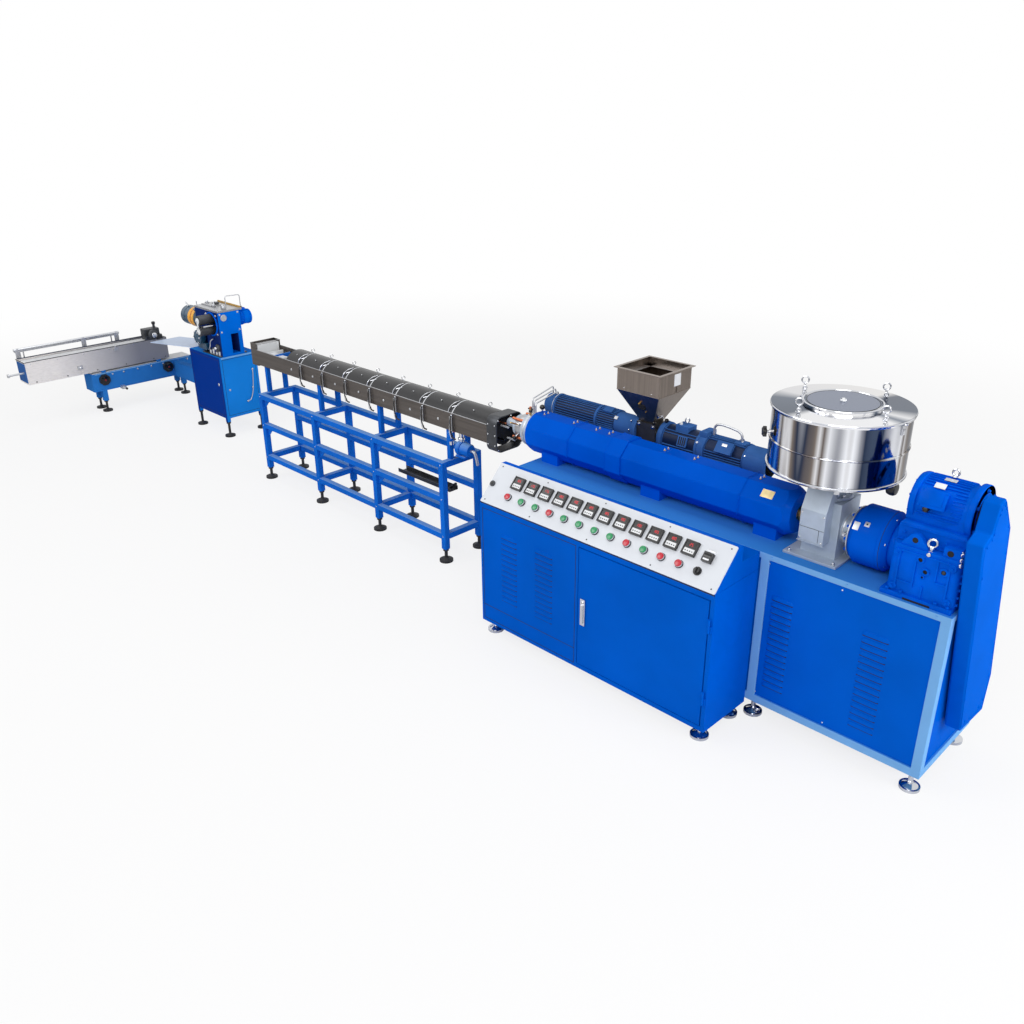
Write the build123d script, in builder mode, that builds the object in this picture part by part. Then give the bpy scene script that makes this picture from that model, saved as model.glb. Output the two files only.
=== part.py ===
from build123d import *
import math
import os

os.makedirs("parts", exist_ok=True)

# Working datum: the control cabinet's right end (X), its front face (Y) and the floor (Z).
# +X runs along the line from the cooling trough to the gearbox, +Y to the back, +Z up.

# Levelling feet
PAD_R = 45
PAD_HEIGHT = 14
STEM_R = 11
NUT_R = 19
NUT_HEIGHT = 12

# Control cabinet
CABINET_LENGTH = 1490
CABINET_DEPTH = 346
CABINET_BOTTOM = 70
CABINET_TOP = 800
CABINET_SHEET = 5
CABINET_FOOT_INSET = 52
DOOR_WIDTH = 756
DOOR_RIGHT_MARGIN = 26
DOOR_BOTTOM = 100
DOOR_TOP = 762
DOOR_THICKNESS = 18
DOOR_PROUD = 2
DOOR_GAP = 5
HINGE_R = 6
HINGE_PIN_R = 2.6
HINGE_PIN_GAP = 0.3
HINGE_KNUCKLE = 34
HINGE_END_GAP = 0.5
HINGE_OFFSET_X = 11
HINGE_PROUD = 10
HINGE_LOW_Z = 258
HINGE_HIGH_Z = 640
HANDLE_WIDTH = 30
HANDLE_HEIGHT = 150
HANDLE_DEPTH = 9
HANDLE_LEVER_DEPTH = 15
HANDLE_EDGE = 22
HANDLE_Z = 416

# Slanted console and what is set into it
CONSOLE_RUN = 164
CONSOLE_RISE = 172
CONSOLE_TOP_DEPTH = 34
PANEL_THICKNESS = 4
PANEL_SIDE_MARGIN = 4
CONTROLLER_COUNT = 12
CONTROLLER_SIZE = 72
CONTROLLER_PITCH = 99
CONTROLLER_DEPTH = 10
CONTROLLER_UP = 157
CONTROLLER_FIRST = 190
BUTTON_PITCH = 99
BUTTON_R = 14
BUTTON_DEPTH = 18
BUTTON_UP = 71
BUTTON_FIRST = 172
RED_BUTTONS = (0, 3, 8, 10, 11)
GREEN_BUTTONS = (1, 2, 4, 5, 6, 7, 9)
SWITCH_SIZE = 46
SWITCH_GAP = 43
SWITCH_DROP = 14
SWITCH_DEPTH = 22

# Machine base
BASE_LENGTH = 2400
BASE_RIGHT = 860
BASE_DEPTH = 554
BASE_TOP = 890
BASE_BOTTOM = 93
BASE_PLATE = 30
BASE_TUBE = 42
BASE_RECESS = 8
BASE_MID_POST_X = 6
BASE_FOOT_INSET = 46

# Main extruder
AXIS_SETBACK = 214
AXIS_ABOVE_BASE = 140
COVER_FLAT = 111
COVER_CORNER = 10
COVER_LEFT = -1600
COVER_SEAM_1 = -1269
BAND_LEFT = -1005
BAND_RIGHT = -904
BAND_STEP = 6
COVER_SEAM_2 = -197
COVER_RIGHT = 60
COVER_NOSE_R = 30
COVER_TAPER = 46
COVER_TAPER_INSET = 26
COVER_LEG_WIDTH = 120
COVER_LEG_DEPTH = 150
COLLAR_R = 34
COLLAR_LENGTH = 66
BED_LEFT = 74
BED_RIGHT = 330
BED_FRONT_MARGIN = 62
BED_BACK_MARGIN = 60
BED_THICKNESS = 12
THROAT_LENGTH = 165
THROAT_DEPTH = 176
THROAT_HEIGHT = 262
CHUTE_LENGTH = 118
CHUTE_OUT = 62
CHUTE_TOP_ABOVE = 196
CHUTE_LOW_BELOW = 52
SHAFT_HOUSING_R = 70
DRUM_LEFT = 346
DRUM_RIGHT = 520
DRUM_R = 134
DRUM_CHAMFER = 22
FLANGE_R = 104

# Gearbox, upper drive and belt guard
GEARBOX_LEFT = 566
GEARBOX_LENGTH = 278
GEARBOX_FRONT_MARGIN = 30
GEARBOX_DEPTH = 300
GEARBOX_HEIGHT = 210
GEARBOX_FOOT = 22
GEARBOX_CORNER = 26
CASING_CORNER = 20
GEARBOX_FOOT_OUT = 14
CASING_LENGTH = 268
CASING_FRONT_STEP = 44
CASING_DEPTH = 262
CASING_HEIGHT = 84
DRIVE_R = 104
DRIVE_LENGTH = 232
DRIVE_LEFT_STEP = 6
DRIVE_ABOVE_CASING = 62
DRIVE_RING_R = 116
DRIVE_RING_LENGTH = 26
DRIVE_SHAFT_R = 34
DRIVE_SADDLE_MARGIN = 30
GUARD_GAP = 5
GUARD_THICKNESS = 66
GUARD_FRONT = 300
GUARD_PROFILE = (
    (0, 1245), (66, 1272), (96, 1386), (142, 1400), (268, 1246),
    (486, 455), (474, 276), (216, 292),
)

# Drum-shaped hopper tank over the feed throat
TANK_X = 190
TANK_R = 288
TANK_WALL = 4
TANK_BOTTOM = 1290
TANK_TOP = 1562
TANK_FLOOR = 6
TANK_RIM = 5
TANK_BAND_Z = 1424
TANK_NECK_R = 66
LID_EDGE_OUT = 8
LID_EDGE_HEIGHT = 16
LID_DISC_R = 164
LID_DISC_HEIGHT = 12
LID_KNOB_R = 10
EYEBOLT_RING_R = 15
EYEBOLT_WIRE_R = 3.5
EYEBOLT_STEM = 30
EYEBOLT_CIRCLE_R = 226

# Side extruder behind the main barrel
SIDE_AXIS_SETBACK = 478
SIDE_AXIS_ABOVE_BASE = 212
SIDE_LEFT = -1735
SIDE_UNIT_RIGHT = -1056
SIDE_R = 66
SIDE_RING_R = 72
SIDE_CAP_R = 63
SIDE_CAP_LENGTH = 70
SIDE_RING_LENGTH = 16
SIDE_BODY_LENGTH = 300
SIDE_DRIVE_LENGTH = 245
SIDE_THROAT_LEFT = -1056
SIDE_THROAT_RIGHT = -932
SIDE_THROAT_WIDTH = 104
SIDE_THROAT_HEIGHT = 120
SIDE_COUPLING_R = 40
SIDE_MOTOR_LEFT = -900
SIDE_MOTOR_RIGHT = -252
SIDE_MOTOR_R = 70
SIDE_MOTOR_RING_R = 80
SIDE_MOTOR_FAN_R = 74
MOTOR_FLANGE_LENGTH = 26
MOTOR_GEAR_LENGTH = 210
MOTOR_RING_LENGTH = 56
MOTOR_FAN_LENGTH = 118
MOTOR_END_LENGTH = 12
TERMINAL_SIZE = 78
TERMINAL_HEIGHT = 36
HOPPER_TOP = 1467
HOPPER_SIDE = 278
HOPPER_BOX_HEIGHT = 122
HOPPER_NECK = 84
HOPPER_SHEET = 4
HOPPER_LIP = 14
SIDE_BRACKET_WIDTH = 60
SIDE_BRACKET_DEPTH = 110
SIDE_BRACKETS = (-1640, -1350, -1130, -780, -340)

# Die between the barrel and the trough
DIE_FLANGE_R = 96
DIE_FLANGE_LENGTH = 46
DIE_BODY_R = 62
DIE_BODY_LENGTH = 92
DIE_TIP_R = 26
DIE_TIP_GAP = 6
DIE_ROD_R = 8
DIE_ROD_CIRCLE_R = 78
PIPE_COUNT = 3
PIPE_R = 4
PIPE_BEND = 16
PIPE_RISE = 84
PIPE_STEP = 12
PIPE_PITCH = 20
PIPE_SEAT = 2

# Cooling trough
TROUGH_RIGHT = -1913
TROUGH_LENGTH = 2542
TROUGH_FRONT = 459
TROUGH_WIDTH = 208
TROUGH_BOTTOM = 900
TROUGH_TOP = 1015
TROUGH_SHEET = 5
TROUGH_COLLAR_LENGTH = 84
TROUGH_COLLAR_OUT = 4
TROUGH_COLLAR_BELOW = 50
TROUGH_COLLAR_ABOVE = 58
TROUGH_COLLAR_WALL = 8
TROUGH_COLLAR_CORNER = 46
END_BOX_LENGTH = 86
END_BOX_ABOVE = 46
END_BOX_BELOW = 10
HOOP_FIRST_X = -3859
HOOP_PITCH = 273
HOOP_COUNT = 7
HOOP_WIDTH = 9
HOOP_THICKNESS = 4
COVER_RISE = 56
COVER_SHEET = 4
COVER_HOOP_GAP = 12
COVER_FIRST_OVERHANG = 196

# Frame below the trough
STAND_LEFT = -4412
STAND_RIGHT = -2266
STAND_FRONT = 402
STAND_DEPTH = 335
STAND_TOP = 692
STAND_BOTTOM = 88
STAND_TUBE = 40
STAND_MID_RAIL = 420
STAND_LOW_RAIL = 158
STAND_BAYS = 3
STAND_UPRIGHT = 30
STAND_UPRIGHT_INSET = 40

# Haul-off and cutter cabinet
PULLER_LEFT = -6035
PULLER_LENGTH = 530
PULLER_FRONT = 680
PULLER_DEPTH = 362
PULLER_BOTTOM = 165
PULLER_TOP = 715
PULLER_TUBE = 34
HEAD_LENGTH = 226
HEAD_FRONT_STEP = 40
HEAD_DEPTH = 212
HEAD_HEIGHT = 380
HEAD_GEAR_INSET = 20
HEAD_COLUMN_INSET = 70
HEAD_COLUMN_DEPTH = 104
HEAD_COLUMN_HEIGHT = 186
HEAD_POST = 40
HEAD_WINDOW_WIDTH = 118
HEAD_WINDOW_HEIGHT = 184
HEAD_WINDOW_DEPTH = 70
HEAD_PLATE = 18
HEAD_PLATE_LENGTH = 396
HEAD_PLATE_DEPTH = 236
ROLLER_R = 42
ROLLER_OUT = 128
ROLLER_NIP_Z = 990
ROLLER_GAP = 8
HEAD_MOTOR_R = 62
HEAD_MOTOR_LENGTH = 132
HEAD_MOTOR_Z = 1010
HEAD_MOTOR_SHIFT = 20
AIR_SETBACK = 150
AIR_SPAN = 128
AIR_RISE = 92
PULLER_MOTOR_R = 84
PULLER_MOTOR_LENGTH = 330
PULLER_MOTOR_Z = 968
PULLER_GEAR_LENGTH = 170

# Collecting conveyor
CONVEYOR_LEFT = -7222
CONVEYOR_RIGHT = -7034
CONVEYOR_FRONT = 150
CONVEYOR_BACK = 1170
CONVEYOR_BOTTOM = 205
CONVEYOR_TOP = 376
CONVEYOR_SHEET = 6
CONVEYOR_LEG = 44
CONVEYOR_LEG_BOTTOM = 104
CONVEYOR_FOOT_FRONT = 250
CONVEYOR_FOOT_BACK = 1060
CONVEYOR_PULLEY_R = 50
CONVEYOR_HUB_LENGTH = 24
PULLEY_CORNER = 8
CONVEYOR_PULLEY_Z = 312
CONVEYOR_PULLEY_FRONT = 262
CONVEYOR_PULLEY_BACK = 905
COLLECT_FRONT = -410
COLLECT_BACK = 940
COLLECT_WIDTH = 212
COLLECT_RAISE = 22
COLLECT_HEIGHT = 206
COLLECT_SHEET = 5
COLLECT_HANDLE_OUT = 130
COLLECT_HANDLE_R = 9
COLLECT_KNOB_R = 17
COLLECT_HANDLE_INSET = 60
RAIL_R = 14
RAIL_POST_MARGIN = 80
RAIL_ABOVE = 74
RAIL_LENGTH = 980
RAIL_POST_R = 6
LINK_DEPTH = 70
LINK_HEIGHT = 150
LINK_SETBACK = 290
CHUTE_PLATE = 8
CHUTE_DEPTH = 300
CHUTE_DROP = 120


def slab(x, y, z, mode=Mode.ADD):
    """Box between a low and a high limit along each axis."""
    with Locations(((x[0] + x[1]) / 2, (y[0] + y[1]) / 2, (z[0] + z[1]) / 2)):
        Box(x[1] - x[0], y[1] - y[0], z[1] - z[0], mode=mode)


def rod_x(x, y, z, radius, mode=Mode.ADD):
    """Round bar along X."""
    with Locations(Location(((x[0] + x[1]) / 2, y, z), (0, 90, 0))):
        Cylinder(radius, x[1] - x[0], mode=mode)


def rod_y(x, y, z, radius, mode=Mode.ADD):
    """Round bar along Y."""
    with Locations(Location((x, (y[0] + y[1]) / 2, z), (90, 0, 0))):
        Cylinder(radius, y[1] - y[0], mode=mode)


def rod_z(x, y, z, radius, mode=Mode.ADD):
    """Round bar along Z."""
    with Locations((x, y, (z[0] + z[1]) / 2)):
        Cylinder(radius, z[1] - z[0], mode=mode)


def prism_x(points, x, mode=Mode.ADD):
    """Outline of (Y, Z) points carried along X."""
    with BuildSketch(Plane.YZ.offset(x[0])) as outline:
        Polygon(*points, align=None)
    extrude(outline.sketch, amount=x[1] - x[0], mode=mode)


def prism_y(points, y, mode=Mode.ADD):
    """Outline of (X, Z) points carried along Y."""
    with BuildSketch(Plane.XZ.offset(-y[1])) as outline:
        Polygon(*points, align=None)
    extrude(outline.sketch, amount=y[1] - y[0], mode=mode)


def turned_x(profile, y, z):
    """Body turned about an axis along X from (x, radius) points of its outline."""
    first, last = profile[0][0], profile[-1][0]
    axis_plane = Plane(origin=(0, y, z), x_dir=(1, 0, 0), z_dir=(0, -1, 0))
    with BuildSketch(axis_plane) as outline:
        Polygon((first, 0), *profile, (last, 0), align=None)
    revolve(outline.sketch, axis=Axis((0, y, z), (1, 0, 0)))


def eight_sided_x(x, y, z, flat, corner, mode=Mode.ADD):
    """Eight-sided bar along X with a flat on top, the flats a given distance from its axis."""
    with BuildSketch(Plane(origin=(x[0], y, z), x_dir=(0, 1, 0), z_dir=(1, 0, 0))) as outline:
        RegularPolygon(flat, 8, major_radius=False, rotation=180 / 8)
        fillet(outline.vertices(), corner)
    extrude(outline.sketch, amount=x[1] - x[0], mode=mode)


def stepped_x(start, sections, y, z):
    """Round body along X made of (length, radius) sections from its left end."""
    left = start
    for length, radius in sections:
        rod_x((left, left + length), y, z, radius)
        left += length


def foot(x, y, top):
    """Levelling foot: round pad, coned boss, stem and nut."""
    rod_z(x, y, (0, PAD_HEIGHT), PAD_R)
    with Locations((x, y, PAD_HEIGHT)):
        Cone(PAD_R * 0.8, STEM_R, PAD_HEIGHT, align=(Align.CENTER, Align.CENTER, Align.MIN))
    rod_z(x, y, (PAD_HEIGHT, top), STEM_R)
    rod_z(x, y, (top - NUT_HEIGHT, top), NUT_R)


# Control cabinet

cabinet_x = (-CABINET_LENGTH, 0)
cabinet_y = (0, CABINET_DEPTH)
door_x = (-DOOR_RIGHT_MARGIN - DOOR_WIDTH, -DOOR_RIGHT_MARGIN)
door_y = (-DOOR_PROUD, DOOR_THICKNESS - DOOR_PROUD)
hinge_x = door_x[1] + HINGE_OFFSET_X
hinge_y = -HINGE_PROUD
hinge_levels = (HINGE_LOW_Z, HINGE_HIGH_Z)

# Each hinge has a lower knuckle with the pin on the cabinet and an upper knuckle on the door.
with BuildPart() as control_cabinet:
    slab(cabinet_x, cabinet_y, (CABINET_BOTTOM, CABINET_TOP))
    slab(
        (cabinet_x[0] + CABINET_SHEET, cabinet_x[1] - CABINET_SHEET),
        (cabinet_y[0] + CABINET_SHEET, cabinet_y[1] - CABINET_SHEET),
        (CABINET_BOTTOM + CABINET_SHEET, CABINET_TOP - CABINET_SHEET),
        mode=Mode.SUBTRACT,
    )
    slab(
        (door_x[0] - DOOR_GAP, door_x[1] + DOOR_GAP),
        (-CABINET_SHEET, 2 * CABINET_SHEET),
        (DOOR_BOTTOM - DOOR_GAP, DOOR_TOP + DOOR_GAP),
        mode=Mode.SUBTRACT,
    )
    for level in hinge_levels:
        rod_z(hinge_x, hinge_y, (level - HINGE_KNUCKLE, level), HINGE_R)
        slab((hinge_x, hinge_x + 2 * HINGE_R), (hinge_y + 3, 0), (level - HINGE_KNUCKLE, level))
        rod_z(hinge_x, hinge_y, (level, level + HINGE_KNUCKLE), HINGE_PIN_R)

with BuildPart() as cabinet_door:
    slab(door_x, door_y, (DOOR_BOTTOM, DOOR_TOP))
    for level in hinge_levels:
        upper = (level + HINGE_END_GAP, level + HINGE_END_GAP + HINGE_KNUCKLE)
        rod_z(hinge_x, hinge_y, upper, HINGE_R)
        slab((hinge_x - 3 * HINGE_R, hinge_x), (hinge_y + 3, door_y[0]), upper)
        rod_z(hinge_x, hinge_y, (upper[0], level + HINGE_KNUCKLE + 1), HINGE_PIN_R + HINGE_PIN_GAP,
              mode=Mode.SUBTRACT)

handle_x = door_x[0] + HANDLE_EDGE
handle_z = (HANDLE_Z - HANDLE_HEIGHT / 2, HANDLE_Z + HANDLE_HEIGHT / 2)
with BuildPart() as door_handle:
    slab((handle_x, handle_x + HANDLE_WIDTH), (door_y[0] - HANDLE_DEPTH, door_y[0]), handle_z)
    slab(
        (handle_x + HANDLE_WIDTH / 4, handle_x + HANDLE_WIDTH * 3 / 4),
        (door_y[0] - HANDLE_LEVER_DEPTH, door_y[0] - HANDLE_DEPTH),
        (handle_z[0] + HANDLE_WIDTH / 2, handle_z[1] - HANDLE_WIDTH),
    )

console_top = CABINET_TOP + CONSOLE_RISE
console_back = CONSOLE_RUN + CONSOLE_TOP_DEPTH
with BuildPart() as control_console:
    prism_x(
        (
            (0, CABINET_TOP), (CONSOLE_RUN, console_top), (console_back, console_top),
            (console_back, BASE_TOP), (CABINET_DEPTH, BASE_TOP), (CABINET_DEPTH, CABINET_TOP),
        ),
        cabinet_x,
    )

# The panel plane lies on the slanted face, its X along the line and its Y up the slope.
slope = math.hypot(CONSOLE_RUN, CONSOLE_RISE)
panel_plane = Plane(
    origin=(cabinet_x[0], 0, CABINET_TOP),
    x_dir=(1, 0, 0),
    z_dir=(0, -CONSOLE_RISE / slope, CONSOLE_RUN / slope),
)
face_plane = panel_plane.offset(PANEL_THICKNESS)

with BuildPart() as control_panel:
    with BuildSketch(panel_plane):
        with Locations((CABINET_LENGTH / 2, slope / 2)):
            RectangleRounded(CABINET_LENGTH - 2 * PANEL_SIDE_MARGIN, slope, 2 * PANEL_SIDE_MARGIN)
    extrude(amount=PANEL_THICKNESS)

controller_points = [
    (CONTROLLER_FIRST + i * CONTROLLER_PITCH, CONTROLLER_UP) for i in range(CONTROLLER_COUNT)
]
with BuildPart() as temperature_controllers:
    with BuildSketch(face_plane):
        with Locations(*controller_points):
            RectangleRounded(CONTROLLER_SIZE, CONTROLLER_SIZE, 4)
    extrude(amount=CONTROLLER_DEPTH)


def button_row(numbers):
    """Round buttons at the given places of the lower row."""
    for number in numbers:
        place = (BUTTON_FIRST + number * BUTTON_PITCH, BUTTON_UP)
        with BuildSketch(face_plane) as cap:
            with Locations(place):
                Circle(BUTTON_R)
        extrude(cap.sketch, amount=BUTTON_DEPTH)


button_count = len(RED_BUTTONS) + len(GREEN_BUTTONS) + 1
with BuildPart() as red_buttons:
    button_row(RED_BUTTONS)

with BuildPart() as green_buttons:
    button_row(GREEN_BUTTONS)

last_controller_x = CONTROLLER_FIRST + (CONTROLLER_COUNT - 1) * CONTROLLER_PITCH
switch_x = last_controller_x + CONTROLLER_SIZE / 2 + SWITCH_GAP + SWITCH_SIZE / 2
with BuildPart() as rotary_switches:
    button_row((button_count - 1,))
    with BuildSketch(face_plane) as switch_body:
        with Locations((switch_x, CONTROLLER_UP - SWITCH_DROP)):
            Rectangle(SWITCH_SIZE, SWITCH_SIZE)
    extrude(switch_body.sketch, amount=SWITCH_DEPTH)

with BuildPart() as cabinet_feet:
    for foot_x in (cabinet_x[0] + CABINET_FOOT_INSET, cabinet_x[1] - CABINET_FOOT_INSET):
        for foot_y in (CABINET_FOOT_INSET, CABINET_DEPTH - CABINET_FOOT_INSET):
            foot(foot_x, foot_y, CABINET_BOTTOM)

# Machine base

base_x = (BASE_RIGHT - BASE_LENGTH, BASE_RIGHT)
base_y = (CABINET_DEPTH, CABINET_DEPTH + BASE_DEPTH)
plate_z = (BASE_TOP - BASE_PLATE, BASE_TOP)
post_z = (BASE_BOTTOM, plate_z[0])
rail_z = (BASE_BOTTOM, BASE_BOTTOM + BASE_TUBE)
post_starts = (base_x[0], BASE_MID_POST_X, base_x[1] - BASE_TUBE)

with BuildPart() as base_frame:
    slab(base_x, base_y, plate_z)
    for start_y in (base_y[0], base_y[1] - BASE_TUBE):
        slab(base_x, (start_y, start_y + BASE_TUBE), rail_z)
        for start_x in post_starts:
            slab((start_x, start_x + BASE_TUBE), (start_y, start_y + BASE_TUBE), post_z)
    for start_x in (base_x[0], base_x[1] - BASE_TUBE):
        slab((start_x, start_x + BASE_TUBE), base_y, rail_z)

with BuildPart() as base_panels:
    slab(
        (base_x[0] + BASE_RECESS, base_x[1] - BASE_RECESS),
        (base_y[0] + BASE_RECESS, base_y[1] - BASE_RECESS),
        post_z,
    )
    add(base_frame.part, mode=Mode.SUBTRACT)

base_foot_xs = (base_x[0] + BASE_FOOT_INSET, BASE_MID_POST_X + BASE_TUBE / 2, base_x[1] - BASE_FOOT_INSET)
with BuildPart() as base_feet:
    for foot_x in base_foot_xs:
        for foot_y in (base_y[0] + BASE_FOOT_INSET, base_y[1] - BASE_FOOT_INSET):
            foot(foot_x, foot_y, BASE_BOTTOM)

# Main extruder along one axis

axis_y = base_y[0] + AXIS_SETBACK
axis_z = BASE_TOP + AXIS_ABOVE_BASE

corner_reach = COVER_FLAT / math.cos(math.pi / 8)

with BuildPart() as barrel_cover_front:
    rod_x((COVER_LEFT, COVER_SEAM_1), axis_y, axis_z, corner_reach)
    fillet(barrel_cover_front.edges().sort_by(Axis.X)[0], COVER_NOSE_R)
    eight_sided_x(
        (COVER_LEFT, COVER_SEAM_1), axis_y, axis_z, COVER_FLAT, COVER_CORNER, mode=Mode.INTERSECT
    )

with BuildPart() as barrel_cover_middle:
    eight_sided_x((COVER_SEAM_1, COVER_SEAM_2), axis_y, axis_z, COVER_FLAT, COVER_CORNER)
    eight_sided_x((BAND_LEFT, BAND_RIGHT), axis_y, axis_z, COVER_FLAT + BAND_STEP, COVER_CORNER)

with BuildPart() as barrel_cover_rear:
    turned_x(
        (
            (COVER_SEAM_2, corner_reach),
            (COVER_RIGHT - COVER_TAPER, corner_reach),
            (COVER_RIGHT, corner_reach - COVER_TAPER_INSET),
        ),
        axis_y,
        axis_z,
    )
    eight_sided_x(
        (COVER_SEAM_2, COVER_RIGHT), axis_y, axis_z, COVER_FLAT, COVER_CORNER, mode=Mode.INTERSECT
    )

leg_centres = (
    (COVER_LEFT + COVER_SEAM_1) / 2,
    (COVER_SEAM_1 + COVER_SEAM_2) / 2,
    (COVER_SEAM_2 + COVER_RIGHT) / 2,
)
with BuildPart() as barrel_supports:
    for centre in leg_centres:
        slab(
            (centre - COVER_LEG_WIDTH / 2, centre + COVER_LEG_WIDTH / 2),
            (axis_y - COVER_LEG_DEPTH / 2, axis_y + COVER_LEG_DEPTH / 2),
            (BASE_TOP, axis_z),
        )
    eight_sided_x(
        (COVER_LEFT, COVER_RIGHT), axis_y, axis_z, COVER_FLAT, COVER_CORNER, mode=Mode.SUBTRACT
    )

throat_x = (COVER_RIGHT + COLLAR_LENGTH, COVER_RIGHT + COLLAR_LENGTH + THROAT_LENGTH)
with BuildPart() as screw_collar:
    rod_x((COVER_RIGHT, throat_x[0]), axis_y, axis_z, COLLAR_R)

with BuildPart() as bed_plate:
    slab(
        (BED_LEFT, BED_RIGHT),
        (base_y[0] + BED_FRONT_MARGIN, base_y[1] - BED_BACK_MARGIN),
        (BASE_TOP, BASE_TOP + BED_THICKNESS),
    )

throat_front = axis_y - THROAT_DEPTH / 2
throat_z = (BASE_TOP + BED_THICKNESS, BASE_TOP + BED_THICKNESS + THROAT_HEIGHT)
with BuildPart() as feed_throat:
    slab(throat_x, (throat_front, throat_front + THROAT_DEPTH), throat_z)
    prism_x(
        (
            (throat_front, axis_z - CHUTE_LOW_BELOW),
            (throat_front - CHUTE_OUT, axis_z - CHUTE_LOW_BELOW),
            (throat_front - CHUTE_OUT, axis_z + CHUTE_TOP_ABOVE / 2),
            (throat_front - CHUTE_OUT / 3, axis_z + CHUTE_TOP_ABOVE),
            (axis_y, axis_z + CHUTE_TOP_ABOVE),
            (axis_y, axis_z),
        ),
        (throat_x[0] + 12, throat_x[0] + 12 + CHUTE_LENGTH),
    )
    rod_x((throat_x[1], DRUM_LEFT), axis_y, axis_z, SHAFT_HOUSING_R)
    rod_z(TANK_X, axis_y, (throat_z[1], TANK_BOTTOM), TANK_NECK_R)

with BuildPart() as coupling_guard:
    turned_x(
        (
            (DRUM_LEFT, DRUM_R - DRUM_CHAMFER),
            (DRUM_LEFT + DRUM_CHAMFER, DRUM_R),
            (DRUM_RIGHT - DRUM_CHAMFER, DRUM_R),
            (DRUM_RIGHT, DRUM_R - DRUM_CHAMFER),
        ),
        axis_y,
        axis_z,
    )

# Gearbox, drive and belt guard

gearbox_x = (GEARBOX_LEFT, GEARBOX_LEFT + GEARBOX_LENGTH)
gearbox_y = (base_y[0] + GEARBOX_FRONT_MARGIN, base_y[0] + GEARBOX_FRONT_MARGIN + GEARBOX_DEPTH)
gearbox_top = BASE_TOP + GEARBOX_FOOT + GEARBOX_HEIGHT

casing_y = (gearbox_y[0] + CASING_FRONT_STEP, gearbox_y[0] + CASING_FRONT_STEP + CASING_DEPTH)
casing_top = gearbox_top + CASING_HEIGHT
with BuildPart() as gearbox_housing:
    slab(gearbox_x, gearbox_y, (BASE_TOP + GEARBOX_FOOT, gearbox_top))
    fillet(gearbox_housing.edges().filter_by(Axis.Z), GEARBOX_CORNER)
    slab((gearbox_x[0], gearbox_x[0] + CASING_LENGTH), casing_y, (gearbox_top, casing_top))
    fillet(gearbox_housing.faces().sort_by(Axis.Z)[-1].edges(), CASING_CORNER)
    rod_x((DRUM_RIGHT, GEARBOX_LEFT + GEARBOX_CORNER), axis_y, axis_z, FLANGE_R)
    slab(
        (gearbox_x[0] - GEARBOX_FOOT_OUT, gearbox_x[1]),
        (gearbox_y[0] - GEARBOX_FOOT_OUT, gearbox_y[1] + GEARBOX_FOOT_OUT),
        (BASE_TOP, BASE_TOP + GEARBOX_FOOT),
    )

drive_y = (casing_y[0] + casing_y[1]) / 2
drive_z = casing_top + DRIVE_ABOVE_CASING
drive_x = (gearbox_x[0] + DRIVE_LEFT_STEP, gearbox_x[0] + DRIVE_LEFT_STEP + DRIVE_LENGTH)
guard_x = (BASE_RIGHT + GUARD_GAP, BASE_RIGHT + GUARD_GAP + GUARD_THICKNESS)
with BuildPart() as drive_motor:
    rod_x(drive_x, drive_y, drive_z, DRIVE_R)
    slab(drive_x, (casing_y[0] + DRIVE_SADDLE_MARGIN, casing_y[1] - DRIVE_SADDLE_MARGIN), (casing_top, drive_z))
    rod_x((drive_x[1], drive_x[1] + DRIVE_RING_LENGTH), drive_y, drive_z, DRIVE_RING_R)
    rod_x((drive_x[1], guard_x[0]), drive_y, drive_z, DRIVE_SHAFT_R)
    slab(
        (drive_x[0] - 10, drive_x[1] + DRIVE_RING_LENGTH + 10),
        casing_y,
        (casing_top - CASING_HEIGHT, casing_top),
        mode=Mode.SUBTRACT,
    )

with BuildPart() as belt_guard:
    prism_x([(GUARD_FRONT + y, z) for y, z in GUARD_PROFILE], guard_x)

# Hopper tank

with BuildPart() as tank_floor:
    rod_z(TANK_X, axis_y, (TANK_BOTTOM, TANK_BOTTOM + TANK_FLOOR), TANK_R)

wall_z = (TANK_BOTTOM + TANK_FLOOR, TANK_TOP)
with BuildPart() as tank_wall:
    rod_z(TANK_X, axis_y, wall_z, TANK_R)
    for ring_z in (wall_z[0] + TANK_RIM, TANK_BAND_Z):
        with Locations((TANK_X, axis_y, ring_z)):
            Torus(TANK_R, TANK_RIM)
    rod_z(TANK_X, axis_y, (wall_z[0] - TANK_R, wall_z[1]), TANK_R - TANK_WALL, mode=Mode.SUBTRACT)

lid_z = TANK_TOP + LID_EDGE_HEIGHT
with BuildPart() as tank_lid:
    rod_z(TANK_X, axis_y, (TANK_TOP, lid_z), TANK_R + LID_EDGE_OUT)
    rod_z(TANK_X, axis_y, (lid_z, lid_z + LID_DISC_HEIGHT), LID_DISC_R)
    rod_z(TANK_X, axis_y, (lid_z, lid_z + 2 * LID_DISC_HEIGHT), LID_KNOB_R)

with BuildPart() as tank_eyebolts:
    with Locations((TANK_X, axis_y, 0)):
        with PolarLocations(EYEBOLT_CIRCLE_R, 4, start_angle=4):
            with Locations((0, 0, lid_z + EYEBOLT_STEM / 2)):
                Cylinder(EYEBOLT_WIRE_R + 1, EYEBOLT_STEM)
            with Locations(Location((0, 0, lid_z + EYEBOLT_STEM + EYEBOLT_RING_R - 1), (90, 0, 0))):
                Torus(EYEBOLT_RING_R, EYEBOLT_WIRE_R)

# Side extruder

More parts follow.
